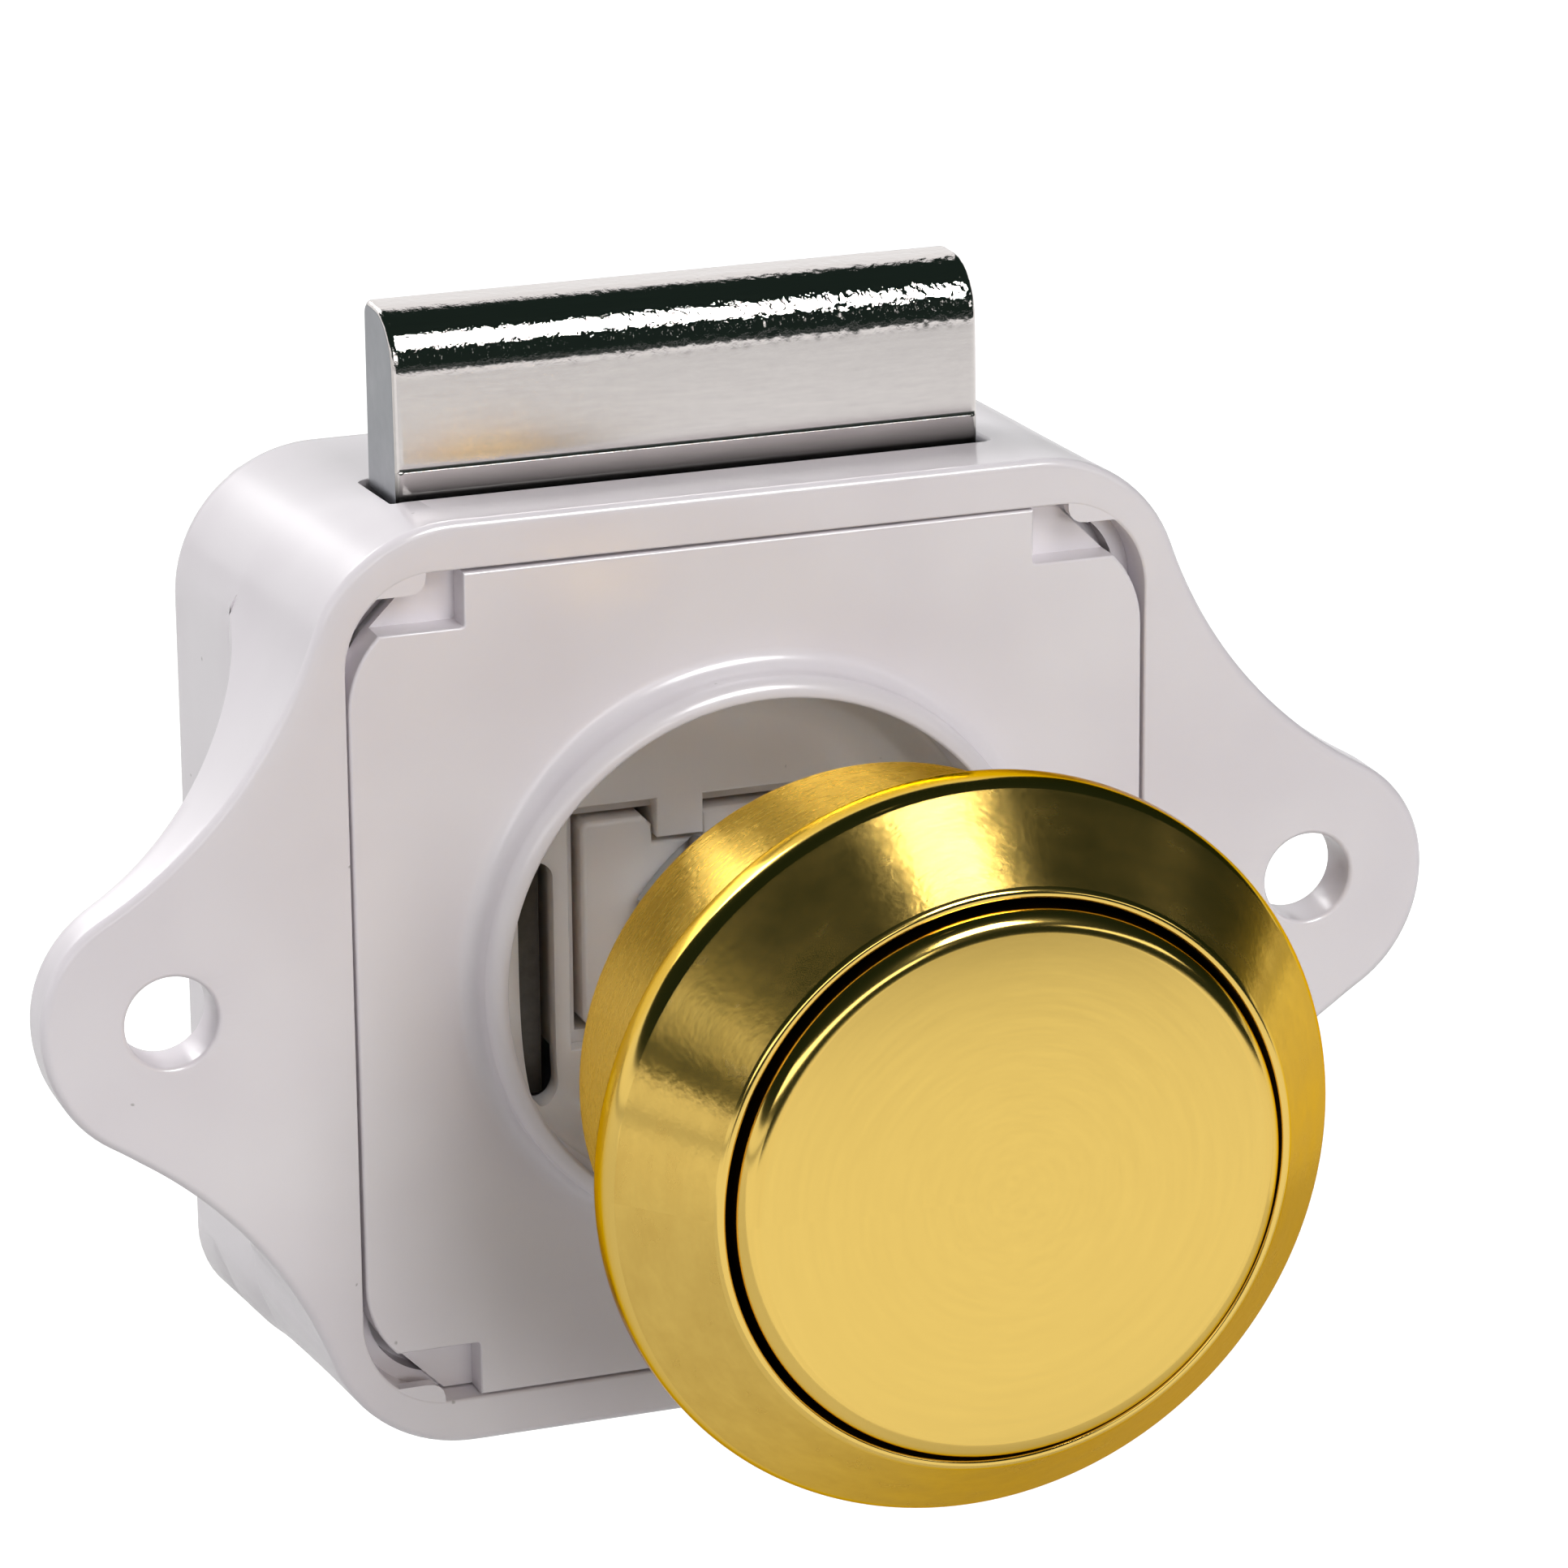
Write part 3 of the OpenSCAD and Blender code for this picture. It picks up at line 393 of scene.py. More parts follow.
def case_rings():
    """Rings from the bottom of the cavity, out over the recess and the front face, round the outer edge,
    down the sides and in over the back. Between its edge and the box an ear's back follows ear_back at a
    steady height."""
    rings = [all_round(middle_box(CAVITY_HALF_W, CAVITY_TOP, CAVITY_CORNER_R), y)
             for y in (CAVITY_DEPTH, 12, 6, RECESS_DEPTH)]
    for y in (RECESS_DEPTH, 1.0, RECESS_EDGE_R):
        rings.append(all_round(middle_box(RECESS_HALF_W, RECESS_TOP, RECESS_CORNER_R), y))
    for a in np.radians([30, 60, 90]):
        grow = RECESS_EDGE_R * (1 - math.cos(a))
        rings.append(all_round(middle_box(RECESS_HALF_W + grow, RECESS_TOP + grow, RECESS_CORNER_R),
                               RECESS_EDGE_R * (1 - math.sin(a))))
    mouth = middle_box(RECESS_HALF_W + RECESS_EDGE_R, RECESS_TOP + RECESS_EDGE_R, RECESS_CORNER_R)
    for share in (0.35, 0.7, 1.0):
        rings.append(all_round(lambda low: mouth(low) * (1 - share) + inset(PLATES[low], EDGE_R) * share, 0))
    for a in np.radians([15, 30, 45, 60, 75, 90]):
        rings.append(all_round(lambda low: inset(PLATES[low], EDGE_R * (1 - math.sin(a))),
                               EDGE_R * (1 - math.cos(a))))
    # Down the side: the outer of the plate's outline and the box's wall
    is_side = np.arange(len(upper_plate)) <= SIDE_COLUMNS
    join_y = EAR_T + FLARE_R - 1.6
    rear = np.where(is_side, np.minimum(ear_back(upper_plate[:, 0]), join_y), join_y)
    for share in (0.25, 0.5, 0.75, 1.0):
        y = EDGE_R + (rear - EDGE_R - EDGE_R) * share
        rings.append(all_round(lambda low: side_points(low, y), y))
    for a in np.radians([15, 30, 45, 60, 75, 90]):
        shrink = np.where(is_side, EDGE_R * (1 - math.cos(a)), 0) * ear_share()
        y = rear - EDGE_R * (1 - math.sin(a))
        rings.append(all_round(lambda low: side_points(low, y, shrink), y))
    # Across the ear's back at a steady height, then down the box's wall
    for share in np.linspace(0, 1, 15)[1:]:
        ears = []
        for low in (False, True):
            inner = inset(PLATES[low], np.where(is_side, EDGE_R, 0) * ear_share())
            wall = wall_quarter(low, join_y)
            outer, least = back_length(inner[:, 0]), back_length(wall[:, 0])
            x, y = back_point(outer + (np.minimum(least, outer) - outer) * share)
            ear = np.stack([np.maximum(x, wall[:, 0]), inner[:, 1] + (wall[:, 1] - inner[:, 1]) * share], -1)
            on_ear = is_side & (inner[:, 0] > wall[:, 0])
            flat = np.where(on_ear[:, None], ear, side_points(low, np.minimum(y, join_y)))
            ears.append((flat, np.where(on_ear, np.minimum(y, join_y), join_y)))
        rings.append(all_round(lambda low: ears[low][0], lambda low: ears[low][1]))
    for y in np.linspace(join_y, CASE_DEPTH - BACK_EDGE_R, 5)[1:]:
        rings.append(all_round(lambda low: wall_quarter(low, y), y))
    for a in np.radians(np.linspace(0, 90, 10))[1:]:
        r = BACK_EDGE_R * (1 - math.cos(a))
        rings.append(all_round(
            lambda low: box_quarter(low, BACK_HALF_W - r, (BACK_LOW if low else BACK_TOP) - r,
                                    (BACK_LOW_CORNER_R if low else BACK_CORNER_R) - r / 2),
            CASE_DEPTH - BACK_EDGE_R * (1 - math.sin(a))))
    return np.array(rings)


def turned(name, profile, columns=160):
    """A closed ring or solid turned about the knob's axis: (r, y) becomes (r cos t, y, r sin t) for each
    angle t. The profile is a closed loop of (r, y); points with r = 0 meet in one point on the axis."""
    t = np.linspace(0, 2 * math.pi, columns, endpoint=False)
    profile = np.array(profile, float)
    rings = np.stack([profile[:, :1] * np.cos(t), np.repeat(profile[:, 1:], columns, 1),
                      profile[:, :1] * np.sin(t)], -1)
    return skin(name, rings, last_joins_first=True)


def moved(item, x=0.0, y=0.0, z=0.0):
    """Moves the mesh of a piece by millimetres."""
    item.data.transform(Matrix.Translation((x / 1000, y / 1000, z / 1000)))
    return item


def join_mesh(target, other, operation="DIFFERENCE"):
    """Adds another piece to the target or cuts it away, and removes it."""
    step = target.modifiers.new(operation, "BOOLEAN")
    step.operation, step.solver, step.object = operation, "EXACT", other
    graph = bpy.context.evaluated_depsgraph_get()
    mesh = bpy.data.meshes.new_from_object(target.evaluated_get(graph))
    target.modifiers.clear()
    old, target.data = target.data, mesh
    bpy.data.meshes.remove(old)
    bpy.data.objects.remove(other)
    return target


def drill(r, y0, y1, edge, mouth1=False):
    """A cutter for a round hole along Y from y0 to y1, whose walls flare by the edge's radius at its
    mouths, so that it leaves round edges: r + edge (1 - cos a) at edge (1 - sin a) from the mouth."""
    profile = [(0, y0 - 1), (r + edge, y0 - 1)]
    mouth = [(edge * (1 - math.cos(a)), edge * (1 - math.sin(a))) for a in np.radians([90, 70, 45, 20, 0])]
    profile += [(r + out, y0 + deep) for out, deep in mouth]
    if mouth1:
        profile += [(r + out, y1 - deep) for out, deep in mouth[::-1]] + [(r + edge, y1 + 1), (0, y1 + 1)]
    else:
        profile += [(r, y1), (0, y1)]
    return turned("cutter", profile, 96)


def plug(r, y0, y1):
    """A plain round bar along Y."""
    return turned("bar", [(0, y0), (r, y0), (r, y1), (0, y1)], 64)


def rounded_loop(x0, x1, z0, z1, r, count=6):
    """Points of a rectangle with round corners, anticlockwise from the right."""
    return np.concatenate([arc((cx, cz), r, a, a + 90, count) for cx, cz, a in (
        (x1 - r, z1 - r, 0), (x0 + r, z1 - r, 90), (x0 + r, z0 + r, 180), (x1 - r, z0 + r, 270))])


def slab(name, loop, y0, y1, edge0=0.0, edge1=0.0, outward=False):
    """A plate over a loop of (x, z) from y0 to y1. Its edges are rounded inwards by edge0 and edge1, or
    flare outwards where it is a cutter, along the loop's normals."""
    ahead = np.roll(loop, -1, 0) - np.roll(loop, 1, 0)
    normal = np.stack([ahead[:, 1], -ahead[:, 0]], -1) / np.linalg.norm(ahead, axis=1, keepdims=True)
    sign = 1 if outward else -1
    steps = []
    if edge0:
        steps += [(sign * edge0 * (1 - math.cos(a)), y0 + edge0 * (1 - math.sin(a)))
                  for a in np.radians([90, 60, 30, 0])]
    else:
        steps.append((0, y0))
    if edge1:
        steps += [(sign * edge1 * (1 - math.cos(a)), y1 - edge1 * (1 - math.sin(a)))
                  for a in np.radians([0, 30, 60, 90])]
    else:
        steps.append((0, y1))
    if outward and edge0:
        steps.insert(0, (edge0, y0 - 1))
    if outward and edge1:
        steps.append((edge1, y1 + 1))
    rings = [np.insert(loop + normal * out, 1, y, axis=1) for out, y in steps]
    return skin(name, np.array(rings))


def upright(item, slope=0.0):
    """Turns a slab so that its loop of (x, -y) runs up Z, and tilts its ends to follow a slope of z over
    y."""
    item.data.transform(Matrix.Rotation(math.pi / 2, 4, "X"))
    shear = Matrix.Identity(4)
    shear[2][1] = slope
    item.data.transform(shear)
    return item


def values(items, name, width=1, kind=float):
    """A property of all vertices, loops or faces of a mesh as an array, with so many numbers for each."""
    found = np.empty(len(items) * width, kind)
    items.foreach_get(name, found)
    return found.reshape(-1, width) if width > 1 else found


def mirrored(item, x=False, z=False):
    """Mirrors the mesh of a piece across X = 0, across the middle of the case, or across both."""
    flip = np.array([-1 if x else 1, 1, -1 if z else 1], float)
    shift = np.array([0, 0, 2 * CASE_MIDDLE_Z / 1000 if z else 0])
    co = values(item.data.vertices, "co", 3) * flip + shift
    item.data.vertices.foreach_set("co", co.ravel())
    if x != z:
        item.data.flip_normals()
    item.data.update()
    return item


def smooth(item, degrees=32):
    """Smooth shading, with the edges sharper than an angle kept crisp and flat faces kept flat."""
    work = bmesh.new()
    work.from_mesh(item.data)
    limit = math.radians(degrees)
    for edge in work.edges:
        edge.smooth = len(edge.link_faces) == 2 and edge.calc_face_angle(0) < limit
    for face in work.faces:
        face.smooth = True
    work.to_mesh(item.data)
    work.free()
    weighted = item.modifiers.new("flat_faces", "WEIGHTED_NORMAL")
    weighted.keep_sharp = True
    return item


def finish(item, *materials):
    """Gives a piece its materials in place of those it has."""
    item.data.materials.clear()
    for material in materials:
        item.data.materials.append(material)


def corner_tab():
    """The tab over the cover's upper right corner: a strip along the recess's edge with an S-shaped inner
    end."""
    root = RECESS_TOP + 0.5
    loop = np.array([(RECESS_HALF_W - 1.2, root), (15.55, root), (15.05, root - 0.4), (15.07, 18.85),
                     (15.15, 18.6), (15.3, 18.42), (15.55, 18.3), (15.9, 18.26), (17.2, 18.26), (17.6, 18.1)])
    return slab("tab", loop[::-1], TAB_SINK, TAB_T, edge0=TAB_EDGE_R)


# White ABS, injection moulded in a polished tool: glossy, faintly wavy where the wall shrank as it cooled,
# with a slightly uneven tone and a few dust specks. Its fine grain is drawn 0.35 mm wide, coarser than it
# is, so that it shows.
ABS_WHITE, ABS_SHADE, ABS_SPECK = "#E9E4E8", "#E2DCE1", "#9C9795"
ABS_IOR, ABS_ROUGHNESS = 1.54, 0.22
WAVE_MM, TONE_MM, SPECK_MM, GRAIN_MM = 7.0, 11.0, 1.1, 0.35
SPECK_RARITY, GRAIN_DEPTH, SCATTER_MM = 0.66, 0.0012, (2.6, 2.2, 1.8)


def noise(tree, where, size, detail=2.0, roughness=0.5):
    """Noise whose lumps are about size millimetres across."""
    return add(tree, "TexNoise", {"Scale": 1000 / size, "Detail": detail, "Roughness": roughness},
               {"Vector": where}).outputs["Fac"]


def plastic(name, light, shade, speck, ior, roughness, wave, scatter=0.0):
    """Moulded plastic: two close tones mixed by slow noise, rare specks, uneven gloss, and a skin that is
    wavy by so many millimetres and finely grained. A share of the light may scatter below the surface."""
    made, tree = new_material(name)
    place = add(tree, "TexCoord").outputs["Object"]
    tone = add(tree, "MapRange", {"From Min": 0.35, "From Max": 0.65}, {"Value": noise(tree, place, TONE_MM)})
    colour = add(tree, "Mix", {"data_type": "RGBA", "A": linear(light), "B": linear(shade)},
                 {0: tone.outputs[0]})
    dust = add(tree, "TexVoronoi", {"Scale": 1000 / SPECK_MM}, {"Vector": place})
    rare = add(tree, "Math", {"operation": "GREATER_THAN", 1: SPECK_RARITY},
               {0: noise(tree, place, SPECK_MM * 2)})
    dot = add(tree, "MapRange", {"From Min": 0.05, "From Max": 0.12, "To Min": 0.7, "To Max": 0.0},
              {"Value": dust.outputs["Distance"]})
    dot = add(tree, "Math", {"operation": "MULTIPLY"}, {0: dot.outputs[0], 1: rare.outputs[0]})
    colour = add(tree, "Mix", {"data_type": "RGBA", "B": linear(speck)},
                 {0: dot.outputs[0], 6: colour.outputs[2]})
    gloss = add(tree, "MapRange", {"To Min": roughness - 0.03, "To Max": roughness + 0.05},
                {"Value": noise(tree, place, TONE_MM / 3)})
    slow = add(tree, "Bump", {"Strength": 1.0, "Distance": wave / 1000},
               {"Height": noise(tree, place, WAVE_MM)})
    fine = add(tree, "Bump", {"Strength": 1.0, "Distance": GRAIN_DEPTH / 1000},
               {"Height": noise(tree, place, GRAIN_MM, 3.0), "Normal": slow.outputs[0]})
    shader = add(tree, "BsdfPrincipled", {"IOR": ior, "Subsurface Weight": scatter, "Subsurface Scale": 0.001,
                                          "Subsurface Radius": SCATTER_MM}, {
        "Base Color": colour.outputs[2], "Roughness": gloss.outputs[0], "Normal": fine.outputs[0]})
    add(tree, "OutputMaterial", {}, {"Surface": shader.outputs[0]})
    return made


white_abs = plastic("white_abs_moulded", ABS_WHITE, ABS_SHADE, ABS_SPECK, ABS_IOR, ABS_ROUGHNESS, wave=0.03)

case = skin("lock_case_body", case_rings())
for side in (-1, 1):
    ear_x, post_x = side * EAR_X, side * (CAVITY_HALF_W - POST_INSET)
    join_mesh(case, moved(drill(EAR_HOLE_R, 0, EAR_T, HOLE_EDGE_R, mouth1=True), x=ear_x))
    join_mesh(case, moved(plug(SCREW_SEAT_R, EAR_T - SEAT_DROP, EAR_T + FLARE_R), x=ear_x))
    for z in (CAVITY_TOP - POST_INSET, -CAVITY_TOP - DROP + POST_INSET):
        join_mesh(case, moved(plug(POST_R, POST_FRONT, CAVITY_DEPTH + 0.5), x=post_x, z=z), "UNION")
for flip_x in (False, True):
    for flip_z in (False, True):
        join_mesh(case, mirrored(corner_tab(), flip_x, flip_z), "UNION")
wall_slope = (BACK_TOP - PLATE_TOP) / (CASE_DEPTH - BACK_EDGE_R)
bolt_gap = rounded_loop(SLIDE_X - BOLT_GAP_HALF_W, SLIDE_X + BOLT_GAP_HALF_W, -BOLT_GAP_BACK,
                        -BOLT_GAP_FRONT, 0.25)
bolt_gap = slab("cutter", bolt_gap, CAVITY_TOP - 1, PLATE_TOP, edge1=0.3, outward=True)
join_mesh(case, upright(bolt_gap, wall_slope))
finish(case, white_abs)
smooth(case)
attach(case, "housing")
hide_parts("lock_case")


# Guide housing. One moulding of natural acetal behind the cover: a bowl that the sleeve dips into, a flange
# that the cover clamps, and a channel for the slide. The bowl's floor has a window, and a slot on each
# side.
BOWL_R, BOWL_WALL, BOWL_FILLET_R, BOWL_FLOOR, BOWL_BACK = 12.3, 1.0, 3.0, 5.6, 6.6
FLANGE_T, FLANGE_GAP, FLANGE_CUT = 1.2, 0.4, 2.4
CHANNEL_HALF_W, CHANNEL_TOP, CHANNEL_LOW, CHANNEL_WALL = 5.6, 5.05, 5.3, 1.0
WINDOW_HALF_W, WINDOW_TOP, WINDOW_LOW, WINDOW_CUT = 6.05, 5.65, -5.9, 0.4
RIB_X, RIB_HALF_W, RIB_LOW = -1.6, 1.1, 3.8
SLOT_IN, SLOT_W, SLOT_TOP, SLOT_LOW = 6.8, 1.7, 3.3, -7.9
PIN_SLOT_Z, PIN_SLOT_HALF_H, CATCH_SLOT = 0.2, 1.1, (-2.2, 2.0)
# Natural acetal, moulded: a warm off-white with a soft, slightly waxy gloss
POM_LIGHT, POM_SHADE, POM_SPECK = "#EFE7E2", "#E6DDD8", "#8F8781"
POM_IOR, POM_ROUGHNESS, POM_SCATTER = 1.48, 0.16, 0.7


# Signs of x and z in each quarter, anticlockwise from the upper right, and the order of its points
QUARTERS = ((1, 1, 1), (-1, 1, -1), (-1, -1, 1), (1, -1, -1))


def cut_corners(half_w, half_h, cut):
    """Corners of a rectangle about the middle of the case with its corners cut off at 45 degrees."""
    quarter = [(half_w, half_h - cut), (half_w - cut, half_h)]
    return np.array([(sx * x, sz * z + CASE_MIDDLE_Z) for sx, sz, order in QUARTERS
                     for x, z in quarter[::order]])


natural_pom = plastic("natural_pom_moulded", POM_LIGHT, POM_SHADE, POM_SPECK, POM_IOR, POM_ROUGHNESS,
                      wave=0.02, scatter=POM_SCATTER)
fillet_c = (BOWL_R - BOWL_FILLET_R, BOWL_FLOOR - BOWL_FILLET_R)
bowl_profile = np.concatenate([[(0, RECESS_DEPTH - 1), (BOWL_R, RECESS_DEPTH - 1)],
                               arc(fillet_c, BOWL_FILLET_R, 0, 90, 16), [(0, BOWL_FLOOR)]])
outer_profile = np.concatenate([[(0, RECESS_DEPTH), (BOWL_R + BOWL_WALL, RECESS_DEPTH)],
                                arc(fillet_c, BOWL_FILLET_R + BOWL_WALL, 0, 90, 12), [(0, BOWL_BACK)]])
guide = turned("guide_housing_body", outer_profile, 144)
flange = cut_corners(CAVITY_HALF_W - FLANGE_GAP, CAVITY_TOP - CASE_MIDDLE_Z - FLANGE_GAP, FLANGE_CUT)
join_mesh(guide, slab("flange", flange, RECESS_DEPTH, RECESS_DEPTH + FLANGE_T, 0.1), "UNION")
wall_x, channel_foot = CHANNEL_HALF_W + CHANNEL_WALL, -CHANNEL_LOW - CHANNEL_WALL
channel = rounded_loop(SLIDE_X - wall_x, SLIDE_X + wall_x, channel_foot, CHANNEL_TOP + CHANNEL_WALL, 0.3)
join_mesh(guide, slab("channel", channel, BOWL_BACK - 0.05, CAVITY_DEPTH), "UNION")
join_mesh(guide, turned("cutter", bowl_profile, 144))
x0, x1 = SLIDE_X - WINDOW_HALF_W, SLIDE_X + WINDOW_HALF_W
left, right = RIB_X - RIB_HALF_W, RIB_X + RIB_HALF_W
window = np.array([(x1, WINDOW_LOW), (x1, WINDOW_TOP - WINDOW_CUT), (x1 - WINDOW_CUT, WINDOW_TOP),
                   (right, WINDOW_TOP), (right, RIB_LOW), (left, RIB_LOW), (left, WINDOW_TOP),
                   (x0 + WINDOW_CUT, WINDOW_TOP), (x0, WINDOW_TOP - WINDOW_CUT), (x0, WINDOW_LOW)])
x0, x1 = SLIDE_X - CHANNEL_HALF_W, SLIDE_X + CHANNEL_HALF_W
bore = np.array([(x1, -CHANNEL_LOW), (x1, CHANNEL_TOP), (right, CHANNEL_TOP), (right, RIB_LOW),
                 (left, RIB_LOW), (left, CHANNEL_TOP), (x0, CHANNEL_TOP), (x0, -CHANNEL_LOW)])
join_mesh(guide, slab("cutter", window, BOWL_FLOOR, BOWL_BACK, edge0=0.12, outward=True))
join_mesh(guide, slab("cutter", bore, BOWL_FLOOR - 1, CASE_DEPTH))
for side in (-1, 1):
    x = SLIDE_X + side * (SLOT_IN + SLOT_W / 2)
    ends = rounded_loop(x - SLOT_W / 2, x + SLOT_W / 2, SLOT_LOW, SLOT_TOP, SLOT_W / 2 - 0.02, 10)
    join_mesh(guide, slab("cutter", ends, BOWL_FLOOR - 1.5, BOWL_BACK + 0.6))
pin_slot = rounded_loop(-CAVITY_DEPTH - 1, -BOWL_BACK - 0.4, PIN_SLOT_Z - PIN_SLOT_HALF_H,
                        PIN_SLOT_Z + PIN_SLOT_HALF_H, 0.3)
across = slab("cutter", pin_slot, -9, 9)
across.data.transform(Matrix.Rotation(math.pi / 2, 4, "Z"))
join_mesh(guide, moved(across, x=SLIDE_X))
catch_slot = rounded_loop(*CATCH_SLOT, channel_foot - 1, -CHANNEL_LOW + 0.5, 0.2)
join_mesh(guide, slab("cutter", catch_slot, BOWL_BACK + 0.4, CASE_DEPTH))
finish(guide, natural_pom)
smooth(guide)
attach(guide, "housing")
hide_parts("guide_housing")


# Slide. A block of natural acetal on the end of the rod. It runs in the housing's channel, where a rib lies
# in the groove along its top. The drive pin goes through its back, and two springs push it forwards.
SLED_HALF_W, SLED_TOP, SLED_LOW, SLED_FRONT, SLED_BACK, SLED_EDGE_R = 5.3, 4.75, -5.0, 6.0, 19.3, 0.4
GROOVE_HALF_W, GROOVE_Z, SLED_CUT = 1.2, 3.5, 0.45
ROD_END_R, ROD_END_L, SPRING_X, SPRING_Z, SPRING_R, SPRING_SEAT = 2.05, 8.2, 3.45, 2.9, 1.47, 1.5
DRIVE_PIN_Y, DRIVE_PIN_Z, DRIVE_PIN_R = 18.0, 0.2, 0.85
CATCH_ROOM, CATCH_ROOM_TOP = (-2.5, 1.35, 7.9, 17.1), 1.65

x0, x1 = SLIDE_X - SLED_HALF_W, SLIDE_X + SLED_HALF_W
left, right = RIB_X - GROOVE_HALF_W, RIB_X + GROOVE_HALF_W
r = SLED_EDGE_R
outline = np.concatenate([
    arc((x1 - r, SLED_TOP - r), r, 0, 90, 5), [(right, SLED_TOP), (right, GROOVE_Z), (left, GROOVE_Z)],
    [(left, SLED_TOP - SLED_CUT), (left - SLED_CUT, SLED_TOP)], arc((x0 + r, SLED_TOP - r), r, 90, 180, 5),
    arc((x0 + r, SLED_LOW + r), r, 180, 270, 5), arc((x1 - r, SLED_LOW + r), r, 270, 360, 5)])
sled = slab("slide_block", outline, SLED_FRONT, SLED_BACK, edge0=0.25, edge1=0.2)
join_mesh(sled, drill(ROD_END_R, SLED_FRONT, SLED_FRONT + ROD_END_L, 0.15))
for side in (-1, 1):
    spring_hole = plug(SPRING_R, SLED_FRONT + SPRING_SEAT, SLED_BACK + 1)
    join_mesh(sled, moved(spring_hole, x=SLIDE_X + side * SPRING_X, z=SPRING_Z))
pin_hole = plug(DRIVE_PIN_R, -8, 8)
pin_hole.data.transform(Matrix.Rotation(math.pi / 2, 4, "Z"))
join_mesh(sled, moved(pin_hole, x=SLIDE_X, y=DRIVE_PIN_Y, z=DRIVE_PIN_Z))
x0, x1, y0, y1 = CATCH_ROOM
catch_room = rounded_loop(x0, x1, SLED_LOW - 1, SLED_LOW + CATCH_ROOM_TOP, 0.2)
join_mesh(sled, slab("cutter", catch_room, y0, y1))
finish(sled, natural_pom)
smooth(sled)
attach(sled, "knob")
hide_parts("sled")


# Small steel and acetal pieces inside: the catch, its cam plate and pin, the springs on their pins, the
# drive pin, the fork that lifts the bolt, and its rivets. The pins are turned and zinc plated, the fork is
# stamped.
ZINC_LIGHT, ZINC_SHADE, STAMPED_SHADED_LIGHT, STAMPED_SHADED_DARK = "#C3C5C7", "#AEB1B4", "#5A5856", "#43413F"
# Zinc plating is a cool, slightly cloudy grey over the rings that turning left. The rings are drawn 0.15 mm
# wide, coarser than they are, so that they show. The stamped steel is half matt, and its dark grey is
# painted shade, so that the slot it shows through stays dark.
MARK_MM, TURNING_MM, STAMP_GRAIN_MM, WEAR_MM = 1.2, 0.15, 0.6, 2.5


def bare_metal(name, light, shade, roughness, grain, stretch, depth):
    """Metal in two tones mixed by fine streaks: noise squeezed along Y by stretch, which marks turned
    pieces with rings and leaves stamped ones evenly grained. A slower noise wears the gloss, and the
    streaks lift the skin."""
    made, tree = new_material(name)
    place = add(tree, "TexCoord").outputs["Object"]
    streak = add(tree, "Mapping", {"Scale": (1.0, stretch, 1.0)}, {"Vector": place}).outputs[0]
    marks, cloud = noise(tree, streak, grain, 3.0, 0.6), noise(tree, place, WEAR_MM)
    colour = add(tree, "Mix", {"data_type": "RGBA", "A": linear(light), "B": linear(shade)}, {0: marks})
    gloss = add(tree, "MapRange", {"To Min": roughness - 0.08, "To Max": roughness + 0.1}, {"Value": cloud})
    bump = add(tree, "Bump", {"Strength": 1.0, "Distance": depth / 1000}, {"Height": marks})
    shader = add(tree, "BsdfPrincipled", {"Metallic": 1.0}, {
        "Base Color": colour.outputs[2], "Roughness": gloss.outputs[0], "Normal": bump.outputs[0]})
    add(tree, "OutputMaterial", {}, {"Surface": shader.outputs[0]})
    return made


zinc_plated = bare_metal("zinc_plated_turned_steel", ZINC_LIGHT, ZINC_SHADE, roughness=0.3, grain=MARK_MM,
                         stretch=MARK_MM / TURNING_MM, depth=0.004)
# The stamped steel's dark grey is painted shade for the slot the fork shows through
stamped_steel_shaded = bare_metal("stamped_steel_painted_shade", STAMPED_SHADED_LIGHT, STAMPED_SHADED_DARK, roughness=0.42,
                           grain=STAMP_GRAIN_MM, stretch=1.0, depth=0.01)
FINISHES = {"cam_plate": natural_pom, "spring_pin_left": zinc_plated, "spring_pin_right": zinc_plated,
            "return_spring_left": zinc_plated, "return_spring_right": zinc_plated, "drive_pin": zinc_plated,
            "catch_pivot_pin": zinc_plated, "catch_arm": stamped_steel_shaded, "bolt_fork": stamped_steel_shaded,
            "bolt_rivet_left": zinc_plated, "bolt_rivet_right": zinc_plated}
for node, material in FINISHES.items():
    finish(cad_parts[node], material)


# Front cover. A plate of white ABS in the recess of the case, held by the four tabs, with a raised collar
# that centres the lock in the door's hole. Its corners are cut and stepped down under the tabs.
COVER_HALF_W, COVER_TOP, COVER_T, COVER_EDGE_R = 18.6, 19.0, 2.0, 0.16
COVER_CUT_SUM, COVER_CUT_R, COVER_TURN = 33.7, 4.78, math.radians(0.15)
POCKET_IN, POCKET_LOW, POCKET_DEPTH = 13.3, 16.5, 1.5
COLLAR_R, COLLAR_H, COLLAR_ROUND, COLLAR_FOOT = 13.2, 2.2, 0.8, 0.9


def cover_outline():
    """The plate's outline: straight edges, and corners cut at 45 degrees that curve into the sides on an
    arc. The whole lies a hair askew in its recess, so the gap along the top narrows to the right."""
    cx = COVER_HALF_W - COVER_CUT_R
    cz = COVER_CUT_SUM - cx - COVER_CUT_R * math.sqrt(2)
    quarter = np.concatenate([arc((cx, cz), COVER_CUT_R, 0, 45, 9), [(COVER_CUT_SUM - COVER_TOP, COVER_TOP)]])
    loop = np.concatenate([quarter[::order] * [sx, sz] + [0, 0 if sz > 0 else 2 * CASE_MIDDLE_Z]
                           for sx, sz, order in QUARTERS])
    c, s = math.cos(COVER_TURN), math.sin(COVER_TURN)
    return loop @ np.array([[c, s], [-s, c]])


